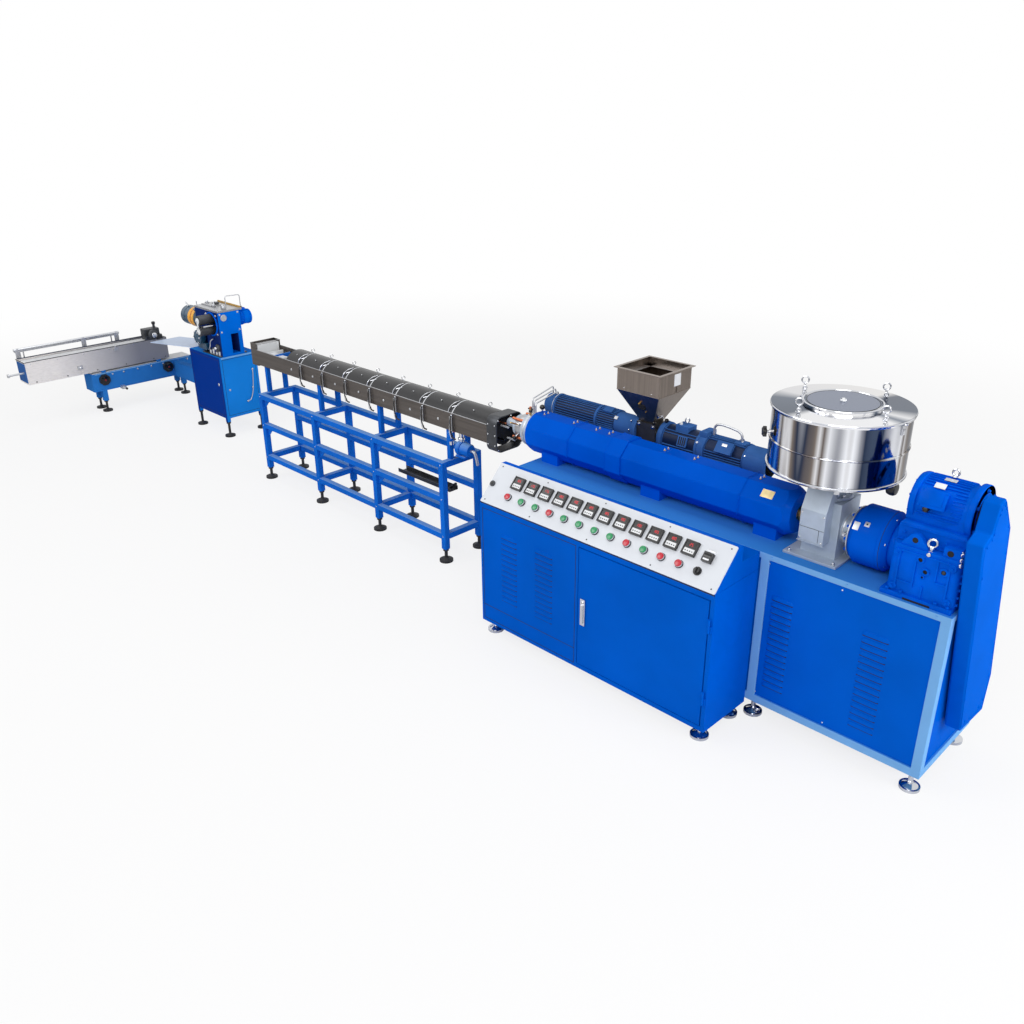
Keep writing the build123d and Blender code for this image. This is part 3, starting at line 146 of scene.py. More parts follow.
def finish(name, colour, roughness, metallic=0.0, vary=0.12, grain=(1, 1, 1), grain_scale=2.5,
           rough_vary=0.08, bump=0.06, bump_scale=420.0, coat=0.0, specular=0.5, dust=0.0,
           dust_colour=None, bands=None, wedges=None):
    """Surface with slow colour changes, a grain that may be drawn out one way, and a fine bump."""
    material = bpy.data.materials.new(name)
    material.use_nodes = True
    tree = material.node_tree
    spot = add_node(tree, "ShaderNodeTexCoord").outputs["Object"]
    grained = add_node(tree, "ShaderNodeMapping", {"Vector": spot, "Scale": grain}).outputs["Vector"]
    clouds = add_node(tree, "ShaderNodeTexNoise", {
        "Vector": grained, "Scale": grain_scale, "Detail": 1.5 if bands else 5,
    }).outputs["Fac"]
    tones = add_node(tree, "ShaderNodeValToRGB", {"Fac": clouds})
    # Streaks or wedges of light and dark, where given, are painted reflections of what polished steel would
    # mirror.
    plain = ((0.3, shade(colour, 1 - vary)), (0.7, shade(colour, 1 + vary)))
    set_stops(tones.color_ramp, bands or wedges or plain)
    if wedges:
        middle = add_node(tree, "ShaderNodeMapping", {"Vector": spot, "Location": -place(TANK_X, AXIS_Y, 0)})
        sweep = add_node(tree, "ShaderNodeTexGradient", {"Vector": middle.outputs["Vector"]},
                         gradient_type="RADIAL")
        tree.links.new(sweep.outputs["Fac"], tones.inputs["Fac"])
    tone = tones.outputs["Color"]
    if dust:
        # Painted light and shade: what faces up is mixed towards another colour, darker or lighter, for how
        # the tops are lit.
        normal = add_node(tree, "ShaderNodeNewGeometry").outputs["Normal"]
        split = add_node(tree, "ShaderNodeSeparateXYZ", {"Vector": normal})
        top_share = add_node(tree, "ShaderNodeMath", {0: split.outputs["Z"], 1: dust},
                        operation="MULTIPLY", use_clamp=True)
        tone = add_node(tree, "ShaderNodeMix", {
            "Factor": top_share.outputs["Value"], "A": tone, "B": dust_colour,
        }, data_type="RGBA").outputs["Result"]
    marks = add_node(tree, "ShaderNodeMapRange", {
        "Value": clouds, "To Min": max(0.02, roughness - rough_vary),
        "To Max": min(1, roughness + rough_vary),
    })
    fine = add_node(tree, "ShaderNodeTexNoise", {"Vector": grained, "Scale": bump_scale, "Detail": 3})
    relief = add_node(tree, "ShaderNodeBump", {
        "Height": fine.outputs["Fac"], "Strength": bump, "Distance": BUMP_DEPTH,
    })
    shader = tree.nodes["Principled BSDF"]
    for key, value in (("Metallic", metallic), ("Coat Weight", coat), ("Specular IOR Level", specular),
                       ("Coat Roughness", COAT_ROUGHNESS)):
        shader.inputs[key].default_value = value
    for key, output in (("Base Color", tone), ("Roughness", marks.outputs["Result"]),
                        ("Normal", relief.outputs["Normal"])):
        tree.links.new(output, shader.inputs[key])
    return material


def paint(name, colour, roughness, coat=0.04, **looks):
    """Satin machine paint; with no mirror of its own, its flat sides keep their colour."""
    return finish(name, colour, roughness, coat=coat, specular=0, **looks)


def glow(name, colour, strength):
    """Lit digits of a display."""
    material = finish(name, colour, 0.4, vary=0.05)
    shader = material.node_tree.nodes["Principled BSDF"]
    shader.inputs["Emission Color"].default_value = colour
    shader.inputs["Emission Strength"].default_value = strength
    return material


def facing(material, axis):
    """Output that is 1 where the surface faces an axis and 0 from square to it onwards."""
    tree = material.node_tree
    normal = add_node(tree, "ShaderNodeNewGeometry").outputs["Normal"]
    dot = add_node(tree, "ShaderNodeVectorMath", {0: normal}, operation="DOT_PRODUCT")
    dot.inputs[1].default_value = axis
    return add_node(tree, "ShaderNodeClamp", {"Value": dot.outputs["Value"]}).outputs["Result"]


def along_depth(material, start, end):
    """Output that runs from 0 to 1 between two Y places of the frame."""
    tree = material.node_tree
    spot = add_node(tree, "ShaderNodeTexCoord").outputs["Object"]
    split = add_node(tree, "ShaderNodeSeparateXYZ", {"Vector": spot})
    reach = {"Value": split.outputs["Y"], "From Min": start, "From Max": end}
    return add_node(tree, "ShaderNodeMapRange", reach).outputs["Result"]


def tint(material, colour, share):
    """Mixes a second colour into a finish by a share."""
    tree = material.node_tree
    base = tree.nodes["Principled BSDF"].inputs["Base Color"]
    tones = {"Factor": share, "A": base.links[0].from_socket, "B": colour}
    mix = add_node(tree, "ShaderNodeMix", tones, data_type="RGBA")
    tree.links.new(mix.outputs["Result"], base)


cabinet_paint = paint("cabinet_paint", CABINET_BLUE, 0.34, vary=0.10, bump=0.10)
# deep_paint darkens what faces up, as painted shade.
deep_paint = paint("deep_paint", DEEP_BLUE, 0.36, vary=0.12, bump=0.08, dust=0.35,
                   dust_colour=srgb(2, 50, 150))
guard_paint = paint("guard_paint", srgb(0, 92, 204), 0.38, vary=0.10, coat=0.03, bump=0.08)
cast_paint = paint("cast_paint", DEEP_BLUE, 0.36, vary=0.16, bump=0.35, bump_scale=160, grain_scale=9)
# pale_paint turns a deeper blue where it faces up, as painted shade.
pale_paint = paint("pale_paint", PALE_BLUE, 0.36, vary=0.06, bump=0.08, dust=0.9,
                   dust_colour=srgb(40, 122, 206))
slate_paint = paint("slate_paint", SLATE_BLUE, 0.34, vary=0.16, bump=0.25, bump_scale=200, grain_scale=8)
slate_gap = finish("slate_gap", srgb(16, 34, 66), 0.5, vary=0.2, specular=0.2)
# stand_paint turns paler where it faces up, as painted light.
stand_paint = paint("stand_paint", STAND_BLUE, 0.34, vary=0.12, dust=0.55, dust_colour=srgb(150, 190, 232))
panel_paint = finish("panel_paint", PANEL_WHITE, 0.42, vary=0.03, bump=0.05)
mirror_steel = finish("mirror_steel", CHROME, 0.10, metallic=1, grain=(1, 1, 0.02), grain_scale=5.5,
                      rough_vary=0.035, bump=0.015, bump_scale=90, bands=PAINTED_REFLECTION_BANDS)
chrome = finish("chrome", CHROME, 0.12, metallic=1, vary=0.04, bump=0.03)
lid_steel = finish("lid_steel", srgb(128, 135, 152), 0.34, metallic=1, vary=0.05, bump=0.04)
lid_mirror = finish("lid_mirror", CHROME, 0.10, metallic=1, rough_vary=0.02, bump=0.01, wedges=PAINTED_LID_REFLECTIONS)
brushed_steel = finish("brushed_steel", STEEL, 0.30, metallic=1, vary=0.10, grain=(0.25, 0.25, 30),
                       grain_scale=5, bump=0.06, bump_scale=60)
hopper_steel = finish("hopper_steel", srgb(136, 126, 118), 0.32, metallic=1, vary=0.12, grain=(20, 20, 0.5),
                      grain_scale=4, bump=0.08, bump_scale=40)
brown_steel = finish("brown_steel", BROWN_STEEL, 0.34, metallic=0.9, vary=0.18, grain=(0.3, 8, 8),
                     grain_scale=6, bump=0.08, bump_scale=60)
dark_steel = finish("dark_steel", DARK_STEEL, 0.42, metallic=0.7, vary=0.2, grain_scale=20, bump=0.2)
cast_grey = finish("cast_grey", CAST_GREY, 0.48, metallic=0.25, vary=0.10, grain_scale=14, bump=0.4,
                   bump_scale=180)
brass = finish("brass", BRASS, 0.3, metallic=1, vary=0.12, grain_scale=30)
black_cover = finish("black_cover", srgb(26, 26, 29), 0.34, vary=0.2, coat=0.1, specular=0.4, bump=0.06)
black_plastic = finish("black_plastic", BLACK, 0.35, vary=0.2, bump=0.15)
black_gloss = finish("black_gloss", srgb(12, 12, 14), 0.12, vary=0.1, bump=0.02)
rubber = finish("rubber", srgb(30, 30, 32), 0.6, vary=0.25, bump=0.4, bump_scale=300)
red_plastic = finish("red_plastic", RED, 0.25, vary=0.08, coat=0.4, bump=0.03)
green_plastic = finish("green_plastic", GREEN, 0.25, vary=0.08, coat=0.4, bump=0.03)
white_plastic = finish("white_plastic", srgb(228, 230, 232), 0.35, vary=0.04, bump=0.05)
white_belt = finish("white_belt", srgb(226, 228, 230), 0.55, vary=0.05, bump=0.3, bump_scale=300)
dark_red = finish("dark_red", srgb(120, 22, 26), 0.4, vary=0.1)
yellow_paint = finish("yellow_paint", YELLOW, 0.36, vary=0.12, coat=0.3)
ochre_paint = finish("ochre_paint", srgb(176, 138, 62), 0.4, vary=0.12)
teal_paint = finish("teal_paint", srgb(24, 66, 92), 0.36, vary=0.2, coat=0.25, bump=0.3, bump_scale=180)
gap_black = finish("gap_black", srgb(8, 10, 14), 0.8, vary=0.2, bump=0.1)
gold_plate = finish("gold_plate", srgb(206, 186, 140), 0.32, metallic=0.8, vary=0.12, grain_scale=40)
plate_grey = finish("plate_grey", srgb(196, 198, 202), 0.34, metallic=0.7, vary=0.06)
copper = finish("copper", srgb(190, 112, 78), 0.34, metallic=1, vary=0.15, grain_scale=40)
# Painted shade: puller_paint and head_paint turn a darker blue where they face the front.
puller_paint = paint("puller_paint", srgb(24, 128, 222), 0.36, vary=0.10)
tint(puller_paint, srgb(6, 54, 146), facing(puller_paint, (0, -1, 0)))
head_paint = paint("head_paint", srgb(0, 106, 220), 0.36, vary=0.12)
tint(head_paint, srgb(20, 44, 108), facing(head_paint, (0, -1, 0)))
conveyor_paint = paint("conveyor_paint", srgb(44, 118, 198), 0.38, vary=0.10)
collecting_steel = finish("collecting_steel", srgb(244, 240, 238), 0.42, metallic=0.35, vary=0.06,
                          grain=(0.25, 6, 30), grain_scale=4, bump=0.05, bump_scale=60)
# Painted shade: the trough's steel turns greyer towards the back.
tint(collecting_steel, srgb(140, 141, 150),
     along_depth(collecting_steel, place(0, -150, 0).y, place(0, 650, 0).y))
chute_paint = finish("chute_paint", srgb(196, 212, 238), 0.36, vary=0.08, coat=0.02, specular=0.1)
digit_red = glow("digit_red", srgb(206, 30, 44), 0.55)

# Mesh building


class Form:
    """Piece under construction: shapes stamped one by one, each with its own finish."""

    def __init__(self):
        self.mesh = bmesh.new()
        self.finishes = []

    def stamp(self, shape, matrix, material):
        """Adds a copy of a shape where the matrix puts it."""
        if material not in self.finishes:
            self.finishes.append(material)
        number = self.finishes.index(material)
        known = len(self.mesh.verts)
        known_faces = len(self.mesh.faces)
        self.mesh.from_mesh(shape)
        self.mesh.verts.ensure_lookup_table()
        self.mesh.faces.ensure_lookup_table()
        new = self.mesh.verts[known:]
        bmesh.ops.transform(self.mesh, matrix=matrix, verts=new)
        if matrix.determinant() < 0:
            bmesh.ops.reverse_faces(self.mesh, faces=self.mesh.faces[known_faces:])
        for face in self.mesh.faces[known_faces:]:
            face.material_index = number

    def put(self, shape, material, x, y, z, axis=UP, roll=None):
        """Stamps a shape at a place given from the datum."""
        self.stamp(shape, at(x, y, z, axis, roll), material)

    def turn(self, material, x, y, z, axis, profile, sides=32):
        """Turned body from (radius, height) points, at a place given from the datum."""
        self.put(lathe(profile, sides), material, x, y, z, axis)

    def wire(self, material, points, radius, sides=8):
        """Round bar through places given from the datum."""
        path = [place(*point) for point in points]
        self.stamp(tube(path, radius / 1000, sides), Matrix(), material)

    def circle(self, shape, material, x, y, z, radius, count, start=0.0, axis=LEFT):
        """Ring of shapes round an axis along X, from a start angle in degrees."""
        for number in range(count):
            turn = math.radians(start + 360 * number / count)
            self.put(shape, material, x, y + radius * math.cos(turn), z + radius * math.sin(turn), axis)

    def seams(self, start, end, axis, roll):
        """Dark seams round a rectangle on an upright side, between two opposite corners."""
        start, end = Vector(start), Vector(end)
        middle, reach = (start + end) / 2, end - start
        upright = slab(SEAM, reach.z, 0.8, 0)
        level = slab(reach.dot(roll), SEAM, 0.8, 0)
        for corner in (start, end):
            self.put(upright, gap_black, corner.x, corner.y, middle.z, axis, roll)
            self.put(level, gap_black, middle.x, middle.y, corner.z, axis, roll)

    def finish(self, name, body, slot, replaces=()):
        """Makes the object, which rides on a body; the slot is not used."""
        data = bpy.data.meshes.new(name)
        self.mesh.to_mesh(data)
        self.mesh.free()
        for material in self.finishes:
            data.materials.append(material)
        piece = bpy.data.objects.new(name, data)
        scene.collection.objects.link(piece)
        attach(piece, body)
        if replaces:
            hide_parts(*replaces)


SHARP_ANGLE = math.radians(38)
SEAM = 2.4
WIRE_SIDES = 8
CURVE_STEPS = 6


def to_shape(mesh):
    """Closes a shape: faces out, soft shading with crisp edges."""
    bmesh.ops.recalc_face_normals(mesh, faces=mesh.faces)
    for face in mesh.faces:
        face.smooth = True
    for edge in mesh.edges:
        if len(edge.link_faces) == 2 and edge.calc_face_angle(0) > SHARP_ANGLE:
            edge.smooth = False
    data = bpy.data.meshes.new("shape")
    mesh.to_mesh(data)
    mesh.free()
    return data


def bevelled(mesh, width, segments=2):
    """Rounds the sharp edges of a mesh."""
    if width:
        sharp = [edge for edge in mesh.edges if edge.calc_face_angle(0) > SHARP_ANGLE]
        bmesh.ops.bevel(mesh, geom=sharp, offset=width, segments=segments, affect="EDGES", profile=0.7)
    return mesh


def block(x, y, z, edge=0.0012):
    """Box about its own middle, standing on its base."""
    mesh = bmesh.new()
    bmesh.ops.create_cube(mesh, size=1,
                          matrix=Matrix.Translation((0, 0, z / 2)) @ Matrix.Diagonal((x, y, z, 1)))
    return to_shape(bevelled(mesh, min(edge, x / 4, y / 4, z / 4)))


def turned(profile, sides=32):
    """Body turned about Z from (radius, height) points, the ends closed on the axis."""
    mesh = bmesh.new()
    points = [mesh.verts.new((radius, 0, height)) for radius, height in profile]
    edges = [mesh.edges.new(pair) for pair in zip(points[:-1], points[1:])]
    bmesh.ops.spin(mesh, geom=points + edges, cent=(0, 0, 0), axis=(0, 0, 1), angle=2 * math.pi,
                   steps=sides, use_merge=True)
    bmesh.ops.remove_doubles(mesh, verts=mesh.verts, dist=1e-6)
    return to_shape(mesh)


def disc(radius, height, edge=0.0008, sides=24):
    """Round plate or rod with a softened top edge."""
    edge = min(edge, radius / 3, height / 3)
    return turned(((0, 0), (radius, 0), (radius, height - edge), (radius - edge, height), (0, height)), sides)


def hexagon(across, height):
    """Hexagonal bolt head with a chamfered top, in millimetres."""
    across, height = across / 1000, height / 1000
    mesh = bmesh.new()
    radius = across / math.sqrt(3)
    bmesh.ops.create_cone(mesh, cap_ends=True, segments=6, radius1=radius, radius2=radius, depth=height,
                          matrix=Matrix.Translation((0, 0, height / 2)))
    return to_shape(bevelled(mesh, height * 0.18, 1))


def bolt(across):
    """Hexagon head on a washer, in millimetres."""
    form = Form()
    washer = across * 0.12
    form.stamp(rod(across * 0.75, washer, 0.3), Matrix(), chrome)
    form.stamp(hexagon(across, across * 0.6), moved(0, 0, washer), chrome)
    data = bpy.data.meshes.new("bolt")
    form.mesh.to_mesh(data)
    form.mesh.free()
    return data


def ring(radius, wire, sides=36):
    """Round wire ring lying flat."""
    mesh = bmesh.new()
    rows = []
    for turn in range(sides):
        angle = 2 * math.pi * turn / sides
        out = Vector((math.cos(angle), math.sin(angle), 0))
        rows.append([
            mesh.verts.new(out * (radius + wire * math.cos(step)) + UP * wire * math.sin(step))
            for step in (2 * math.pi * k / WIRE_SIDES for k in range(WIRE_SIDES))
        ])
    for row, after in zip(rows, rows[1:] + rows[:1]):
        for k in range(WIRE_SIDES):
            mesh.faces.new((row[k], after[k], after[(k + 1) % WIRE_SIDES], row[(k + 1) % WIRE_SIDES]))
    return to_shape(mesh)


def smooth_path(points):
    """Points along a smooth curve through the given ones."""
    points = [Vector(point) for point in points]
    if len(points) < 3:
        return points
    ends = [2 * points[0] - points[1]] + points + [2 * points[-1] - points[-2]]
    path = []
    for before, start, end, after in zip(ends, ends[1:], ends[2:], ends[3:]):
        for step in range(CURVE_STEPS):
            t = step / CURVE_STEPS
            path.append(0.5 * (
                2 * start + (end - before) * t + (2 * before - 5 * start + 4 * end - after) * t * t
                + (3 * start - before - 3 * end + after) * t ** 3
            ))
    return path + [points[-1]]


def tube(points, radius, sides):
    """Round bar along a smooth curve, with closed ends."""
    path = smooth_path(points)
    mesh = bmesh.new()
    rows = []
    side = None
    for number, point in enumerate(path):
        ahead = path[min(number + 1, len(path) - 1)] - path[max(number - 1, 0)]
        ahead.normalize()
        if side is None:
            side = ahead.orthogonal().normalized()
        side = (side - ahead * side.dot(ahead)).normalized()
        other = ahead.cross(side)
        rows.append([
            mesh.verts.new(point + (side * math.cos(turn) + other * math.sin(turn)) * radius)
            for turn in (2 * math.pi * k / sides for k in range(sides))
        ])
    for row, after in zip(rows[:-1], rows[1:]):
        for k in range(sides):
            mesh.faces.new((row[k], row[(k + 1) % sides], after[(k + 1) % sides], after[k]))
    mesh.faces.new(rows[0][::-1])
    mesh.faces.new(rows[-1])
    return to_shape(mesh)


def prism(outline, length, edge=0.001):
    """Outline of (x, y) points carried up along Z."""
    mesh = bmesh.new()
    base = mesh.faces.new([mesh.verts.new((x, y, 0)) for x, y in outline])
    raised = bmesh.ops.extrude_face_region(mesh, geom=[base])["geom"]
    bmesh.ops.translate(mesh, verts=[v for v in raised if isinstance(v, bmesh.types.BMVert)],
                        vec=(0, 0, length))
    return to_shape(bevelled(mesh, edge))


def aim(point, axis, roll=None):
    """Matrix that carries +Z to an axis and the origin to a point; roll is where +X goes."""
    ahead = Vector(axis).normalized()
    side = Vector(roll) if roll else (BACK if abs(ahead.x) > 0.9 else RIGHT)
    side = (side - ahead * side.dot(ahead)).normalized()
    other = ahead.cross(side)
    turn = Matrix((side, other, ahead)).transposed().to_4x4()
    return Matrix.Translation(point) @ turn


# Short forms of the shapes, in millimetres


def slab(x, y, z, edge=1.2):
    """Box."""
    return block(x / 1000, y / 1000, z / 1000, edge / 1000)


def rod(radius, length, edge=0.8, sides=24):
    """Round rod or plate."""
    return disc(radius / 1000, length / 1000, edge / 1000, sides)


def lathe(points, sides=32):
    """Turned body from (radius, height) points."""
    return turned([(radius / 1000, height / 1000) for radius, height in points], sides)


def hoop(radius, wire, sides=36):
    """Ring of round wire."""
    return ring(radius / 1000, wire / 1000, sides)


def outline(points, thickness, edge=0.8):
    """Plate with an outline of (x, y) points."""
    return prism([(x / 1000, y / 1000) for x, y in points], thickness / 1000, edge / 1000)


def at(x, y, z, axis=UP, roll=None):
    """Matrix at a place given from the datum."""
    return aim(place(x, y, z), axis, roll)


def round_x(x, y, z, radius, angle):
    """Matrix on a drum that lies along X: angle 0 faces the front, 90 faces up."""
    turn = math.radians(angle)
    out = Vector((0, -math.cos(turn), math.sin(turn)))
    return aim(place(x, y, z) + out * radius / 1000, out, RIGHT)


def moved(x, y, z):
    """Matrix of a move in millimetres."""
    return Matrix.Translation(Vector((x, y, z)) / 1000)


QUARTER_X = Matrix.Rotation(math.radians(90), 4, "X")
QUARTER_Y = Matrix.Rotation(math.radians(90), 4, "Y")

# Finishes of the frame's own nodes, with rounded sheet-metal edges where they show

node_finish = {
    "control_cabinet": cabinet_paint, "cabinet_door": cabinet_paint, "door_handle": chrome,
    "control_console": cabinet_paint, "control_panel": panel_paint,
    "temperature_controllers": black_plastic, "red_buttons": red_plastic,
    "green_buttons": green_plastic, "rotary_switches": black_plastic, "cabinet_feet": chrome,
    "base_frame": pale_paint, "base_panels": cabinet_paint, "base_feet": chrome,
    "barrel_cover_front": deep_paint, "barrel_cover_middle": deep_paint,
    "barrel_cover_rear": deep_paint, "barrel_supports": deep_paint, "screw_collar": brass,
    "bed_plate": cast_grey, "feed_throat": cast_grey, "coupling_guard": deep_paint,
    "gearbox_housing": cast_paint, "drive_motor": cast_paint, "belt_guard": guard_paint,
    "tank_floor": mirror_steel, "tank_wall": mirror_steel, "tank_lid": lid_mirror,
    "tank_eyebolts": chrome, "side_barrel": slate_paint, "side_throat": dark_steel,
    "side_motor": slate_paint, "side_supports": slate_paint, "side_hopper": hopper_steel,
    "die_head": cast_grey, "die_rods": copper, "die_pipes": plate_grey,
    "trough_channel": brown_steel, "trough_end_box": brown_steel, "trough_collar": dark_steel,
    "trough_covers": black_cover, "trough_hoops": chrome, "stand_front_side": stand_paint,
    "stand_back_side": stand_paint, "stand_cross_members": stand_paint, "stand_feet": rubber,
    "puller_cabinet": puller_paint, "puller_feet": rubber, "puller_head": head_paint,
    "puller_rollers": dark_steel, "head_motor": head_paint, "head_top_plate": brushed_steel,
    "air_pipes": plate_grey, "puller_motor": teal_paint, "conveyor_beam": conveyor_paint,
    "conveyor_pulley_covers": black_plastic, "conveyor_feet": rubber,
    "collecting_trough": collecting_steel, "collecting_handle": plate_grey, "guide_rail": chrome,
    "discharge_chute": chute_paint,
}
soft_edges = {
    "control_cabinet": 0.002, "cabinet_door": 0.0025, "control_console": 0.003,
    "base_frame": 0.003, "belt_guard": 0.008, "door_handle": 0.0015, "feed_throat": 0.006,
    "gearbox_housing": 0.006, "drive_motor": 0.003, "coupling_guard": 0.002,
    "temperature_controllers": 0.0015, "red_buttons": 0.002, "green_buttons": 0.002,
    "rotary_switches": 0.002, "side_throat": 0.004, "puller_cabinet": 0.004,
    "puller_head": 0.004, "stand_front_side": 0.003, "stand_back_side": 0.003,
    "stand_cross_members": 0.003, "conveyor_beam": 0.004, "trough_collar": 0.002,
    "side_motor": 0.002, "side_barrel": 0.002, "head_top_plate": 0.002, "puller_motor": 0.004,
    "head_motor": 0.003, "side_hopper": 0.001, "trough_end_box": 0.001, "bed_plate": 0.002,
    "side_supports": 0.002, "barrel_cover_middle": 0.002, "conveyor_pulley_covers": 0.003,
    "puller_rollers": 0.003, "base_panels": 0.001, "tank_lid": 0.003,
}
for name, node in nodes.items():
    node.data.materials.clear()
    node.data.materials.append(node_finish[name])
    if name in soft_edges:
        weld = node.modifiers.new("weld", "WELD")
        weld.merge_threshold = 1e-5
        round_edges = node.modifiers.new("edges", "BEVEL")
        round_edges.width = soft_edges[name]
        round_edges.segments = 2
        round_edges.limit_method = "ANGLE"
        round_edges.angle_limit = math.radians(40)
        round_edges.harden_normals = True

# Control cabinet: louvres, seams, controller faces, buttons, screws

CONSOLE_RUN = 0.164
PANEL_THICKNESS = 0.004
console_rise = console_high.z - console_low.z
slope = math.hypot(CONSOLE_RUN, console_rise)
up_slope = Vector((0, CONSOLE_RUN, console_rise)) / slope
panel_out = Vector((0, -console_rise, CONSOLE_RUN)) / slope


def on_panel(along, up, lift=0.0):
    """Matrix of a place on the slanted panel's face, in metres along and up from its lower left."""
    point = console_low + RIGHT * along + up_slope * up + panel_out * (PANEL_THICKNESS + lift)
    return aim(point, panel_out, RIGHT)


CONTROLLER_FIRST = 0.190
CONTROLLER_PITCH = 0.099
CONTROLLER_UP = 0.157
CONTROLLER_DEPTH = 0.010
CONTROLLER_COUNT = 12
BUTTON_FIRST = 0.172
BUTTON_UP = 0.071
BUTTON_DEPTH = 0.018
BUTTON_COUNT = 13
RED_NUMBERS = (0, 3, 8, 10, 11)

SEGMENTS = {
    "0": "abcdef", "1": "bc", "2": "abged", "3": "abgcd", "4": "fgbc", "5": "afgcd",
    "6": "afgedc", "7": "abc", "8": "abcdefg", "9": "abcdfg",
}


def digits(form, text, matrix, height, material):
    """Seven-stroke figures on a display, centred on the matrix."""
    width = height * 0.5
    wire = height * 0.13
    bar = block(width, wire, 0.0006, 0)
    post = block(wire, height / 2, 0.0006, 0)
    strokes = {
        "a": (bar, 0, height / 2), "g": (bar, 0, 0), "d": (bar, 0, -height / 2),
        "f": (post, -width / 2, height / 4), "b": (post, width / 2, height / 4),
        "e": (post, -width / 2, -height / 4), "c": (post, width / 2, -height / 4),
    }
    for number, figure in enumerate(text):
        shift = (number - (len(text) - 1) / 2) * height * 0.86
        for stroke in SEGMENTS[figure]:
            shape, x, y = strokes[stroke]
            form.stamp(shape, matrix @ Matrix.Translation((shift + x, y, 0)), material)


def controller_faces():
    """Bezel, dark window with figures, and a pale strip of keys on each controller."""
    size = 0.072
    form = Form()
    rail_long = block(size, 0.005, 0.003)
    rail_short = block(0.005, size, 0.003)
    window = block(0.050, 0.026, 0.001, 0)
    strip = block(0.054, 0.022, 0.0015, 0.0004)
    key = disc(0.0032, 0.0015, 0.0004, 12)
    readings = ("165", "170", "175", "180", "180", "185", "185", "190", "190", "185", "180", "25")
    for number in range(CONTROLLER_COUNT):
        face = on_panel(CONTROLLER_FIRST + number * CONTROLLER_PITCH, CONTROLLER_UP, CONTROLLER_DEPTH)
        edge = size / 2 - 0.0025
        for side in (-1, 1):
            form.stamp(rail_long, face @ Matrix.Translation((0, side * edge, 0)), black_plastic)
            form.stamp(rail_short, face @ Matrix.Translation((side * edge, 0, 0)), black_plastic)
        form.stamp(window, face @ moved(0, 14, 0), black_gloss)
        digits(form, readings[number], face @ moved(0, 15, 1), 0.012, digit_red)
        form.stamp(strip, face @ moved(0, -15, 0), white_plastic)
        for spot in range(4):
            form.stamp(key, face @ Matrix.Translation((-0.018 + spot * 0.012, -0.0165, 0.0012)), dark_steel)
    form.finish("controller_faces", "line", "black_plastic")


def button_trim():
    """Bright collar and domed cap of each round button, and the far right selector's grip."""
    form = Form()
    collar = turned(((0.0145, 0), (0.0205, 0), (0.0205, 0.004), (0.0185, 0.007), (0.0145, 0.007)), 32)
    bezel = turned(((0.0145, 0), (0.0186, 0), (0.0186, 0.006), (0.0176, 0.0075), (0.0145, 0.0075)), 32)
    cap = turned(((0.0145, -0.009), (0.0172, -0.009), (0.0175, -0.007), (0.0175, -0.002), (0.0155, 0.0018),
                  (0.010, 0.0034), (0, 0.004)), 28)
    for number in range(BUTTON_COUNT):
        spot = BUTTON_FIRST + number * CONTROLLER_PITCH
        form.stamp(collar, on_panel(spot, BUTTON_UP), black_plastic)
        if number == BUTTON_COUNT - 1:
            form.stamp(block(0.006, 0.026, 0.008), on_panel(spot, BUTTON_UP, BUTTON_DEPTH), black_plastic)
        else:
            form.stamp(bezel, on_panel(spot, BUTTON_UP, 0.006), chrome)
            material = red_plastic if number in RED_NUMBERS else green_plastic
            form.stamp(cap, on_panel(spot, BUTTON_UP, BUTTON_DEPTH), material)
    form.finish("button_trim", "line", "bright_steel")


def panel_trim():
    """Screws round the white panel, its lock, the meter's window and a bare label above it."""
    form = Form()
    length = console_high.x - console_low.x
    screw = disc(0.0036, 0.002, 0.0006, 16)
    for along in (0.03, 0.36, 0.745, 1.13, length - 0.03):
        for up in (0.018, slope - 0.018):
            form.stamp(screw, on_panel(along, up), dark_steel)
    form.stamp(disc(0.016, 0.010, 0.002), on_panel(0.026, 0.112), dark_steel)
    form.stamp(disc(0.009, 0.014, 0.002), on_panel(0.026, 0.112), black_plastic)
    meter = CONTROLLER_FIRST + (CONTROLLER_COUNT - 1) * CONTROLLER_PITCH + 0.102
    meter_up = CONTROLLER_UP - 0.014
    form.stamp(block(0.036, 0.016, 0.0012, 0.0003), on_panel(meter, meter_up + 0.006, 0.022), black_gloss)
    form.stamp(block(0.030, 0.008, 0.001, 0.0003), on_panel(meter, meter_up - 0.012, 0.022), plate_grey)
    form.stamp(block(0.044, 0.009, 0.0006, 0.0002), on_panel(meter, meter_up + 0.036), plate_grey)
    form.finish("panel_trim", "line", "white_panel")


def scoop(length, height, depth):
    """Pressed louvre: a slat that swells out of the sheet, open below, rounded at both ends."""
    mesh = bmesh.new()
    rows = []
    stations = 13
    arc = 5
    for station in range(stations):
        share = station / (stations - 1)
        swell = min(1, math.sin(math.pi * share) * 3.2) ** 0.6
        x = (share - 0.5) * length
        row = []
        for step in range(arc + 1):
            turn = math.pi / 2 * step / arc
            z = math.sin(turn) * max(depth * swell, 0.0004)
            y = height * math.cos(turn) * (0.35 + 0.65 * swell)
            row.append(mesh.verts.new((x, y, z)))
        rows.append(row)
    for row, after in zip(rows[:-1], rows[1:]):
        for step in range(arc):
            mesh.faces.new((row[step], after[step], after[step + 1], row[step + 1]))
        lip = (row[arc], after[arc], mesh.verts.new((after[arc].co.x, after[arc].co.y, 0)),
               mesh.verts.new((row[arc].co.x, row[arc].co.y, 0)))
        mesh.faces.new(lip)
    bmesh.ops.remove_doubles(mesh, verts=mesh.verts, dist=1e-6)
    return to_shape(mesh)


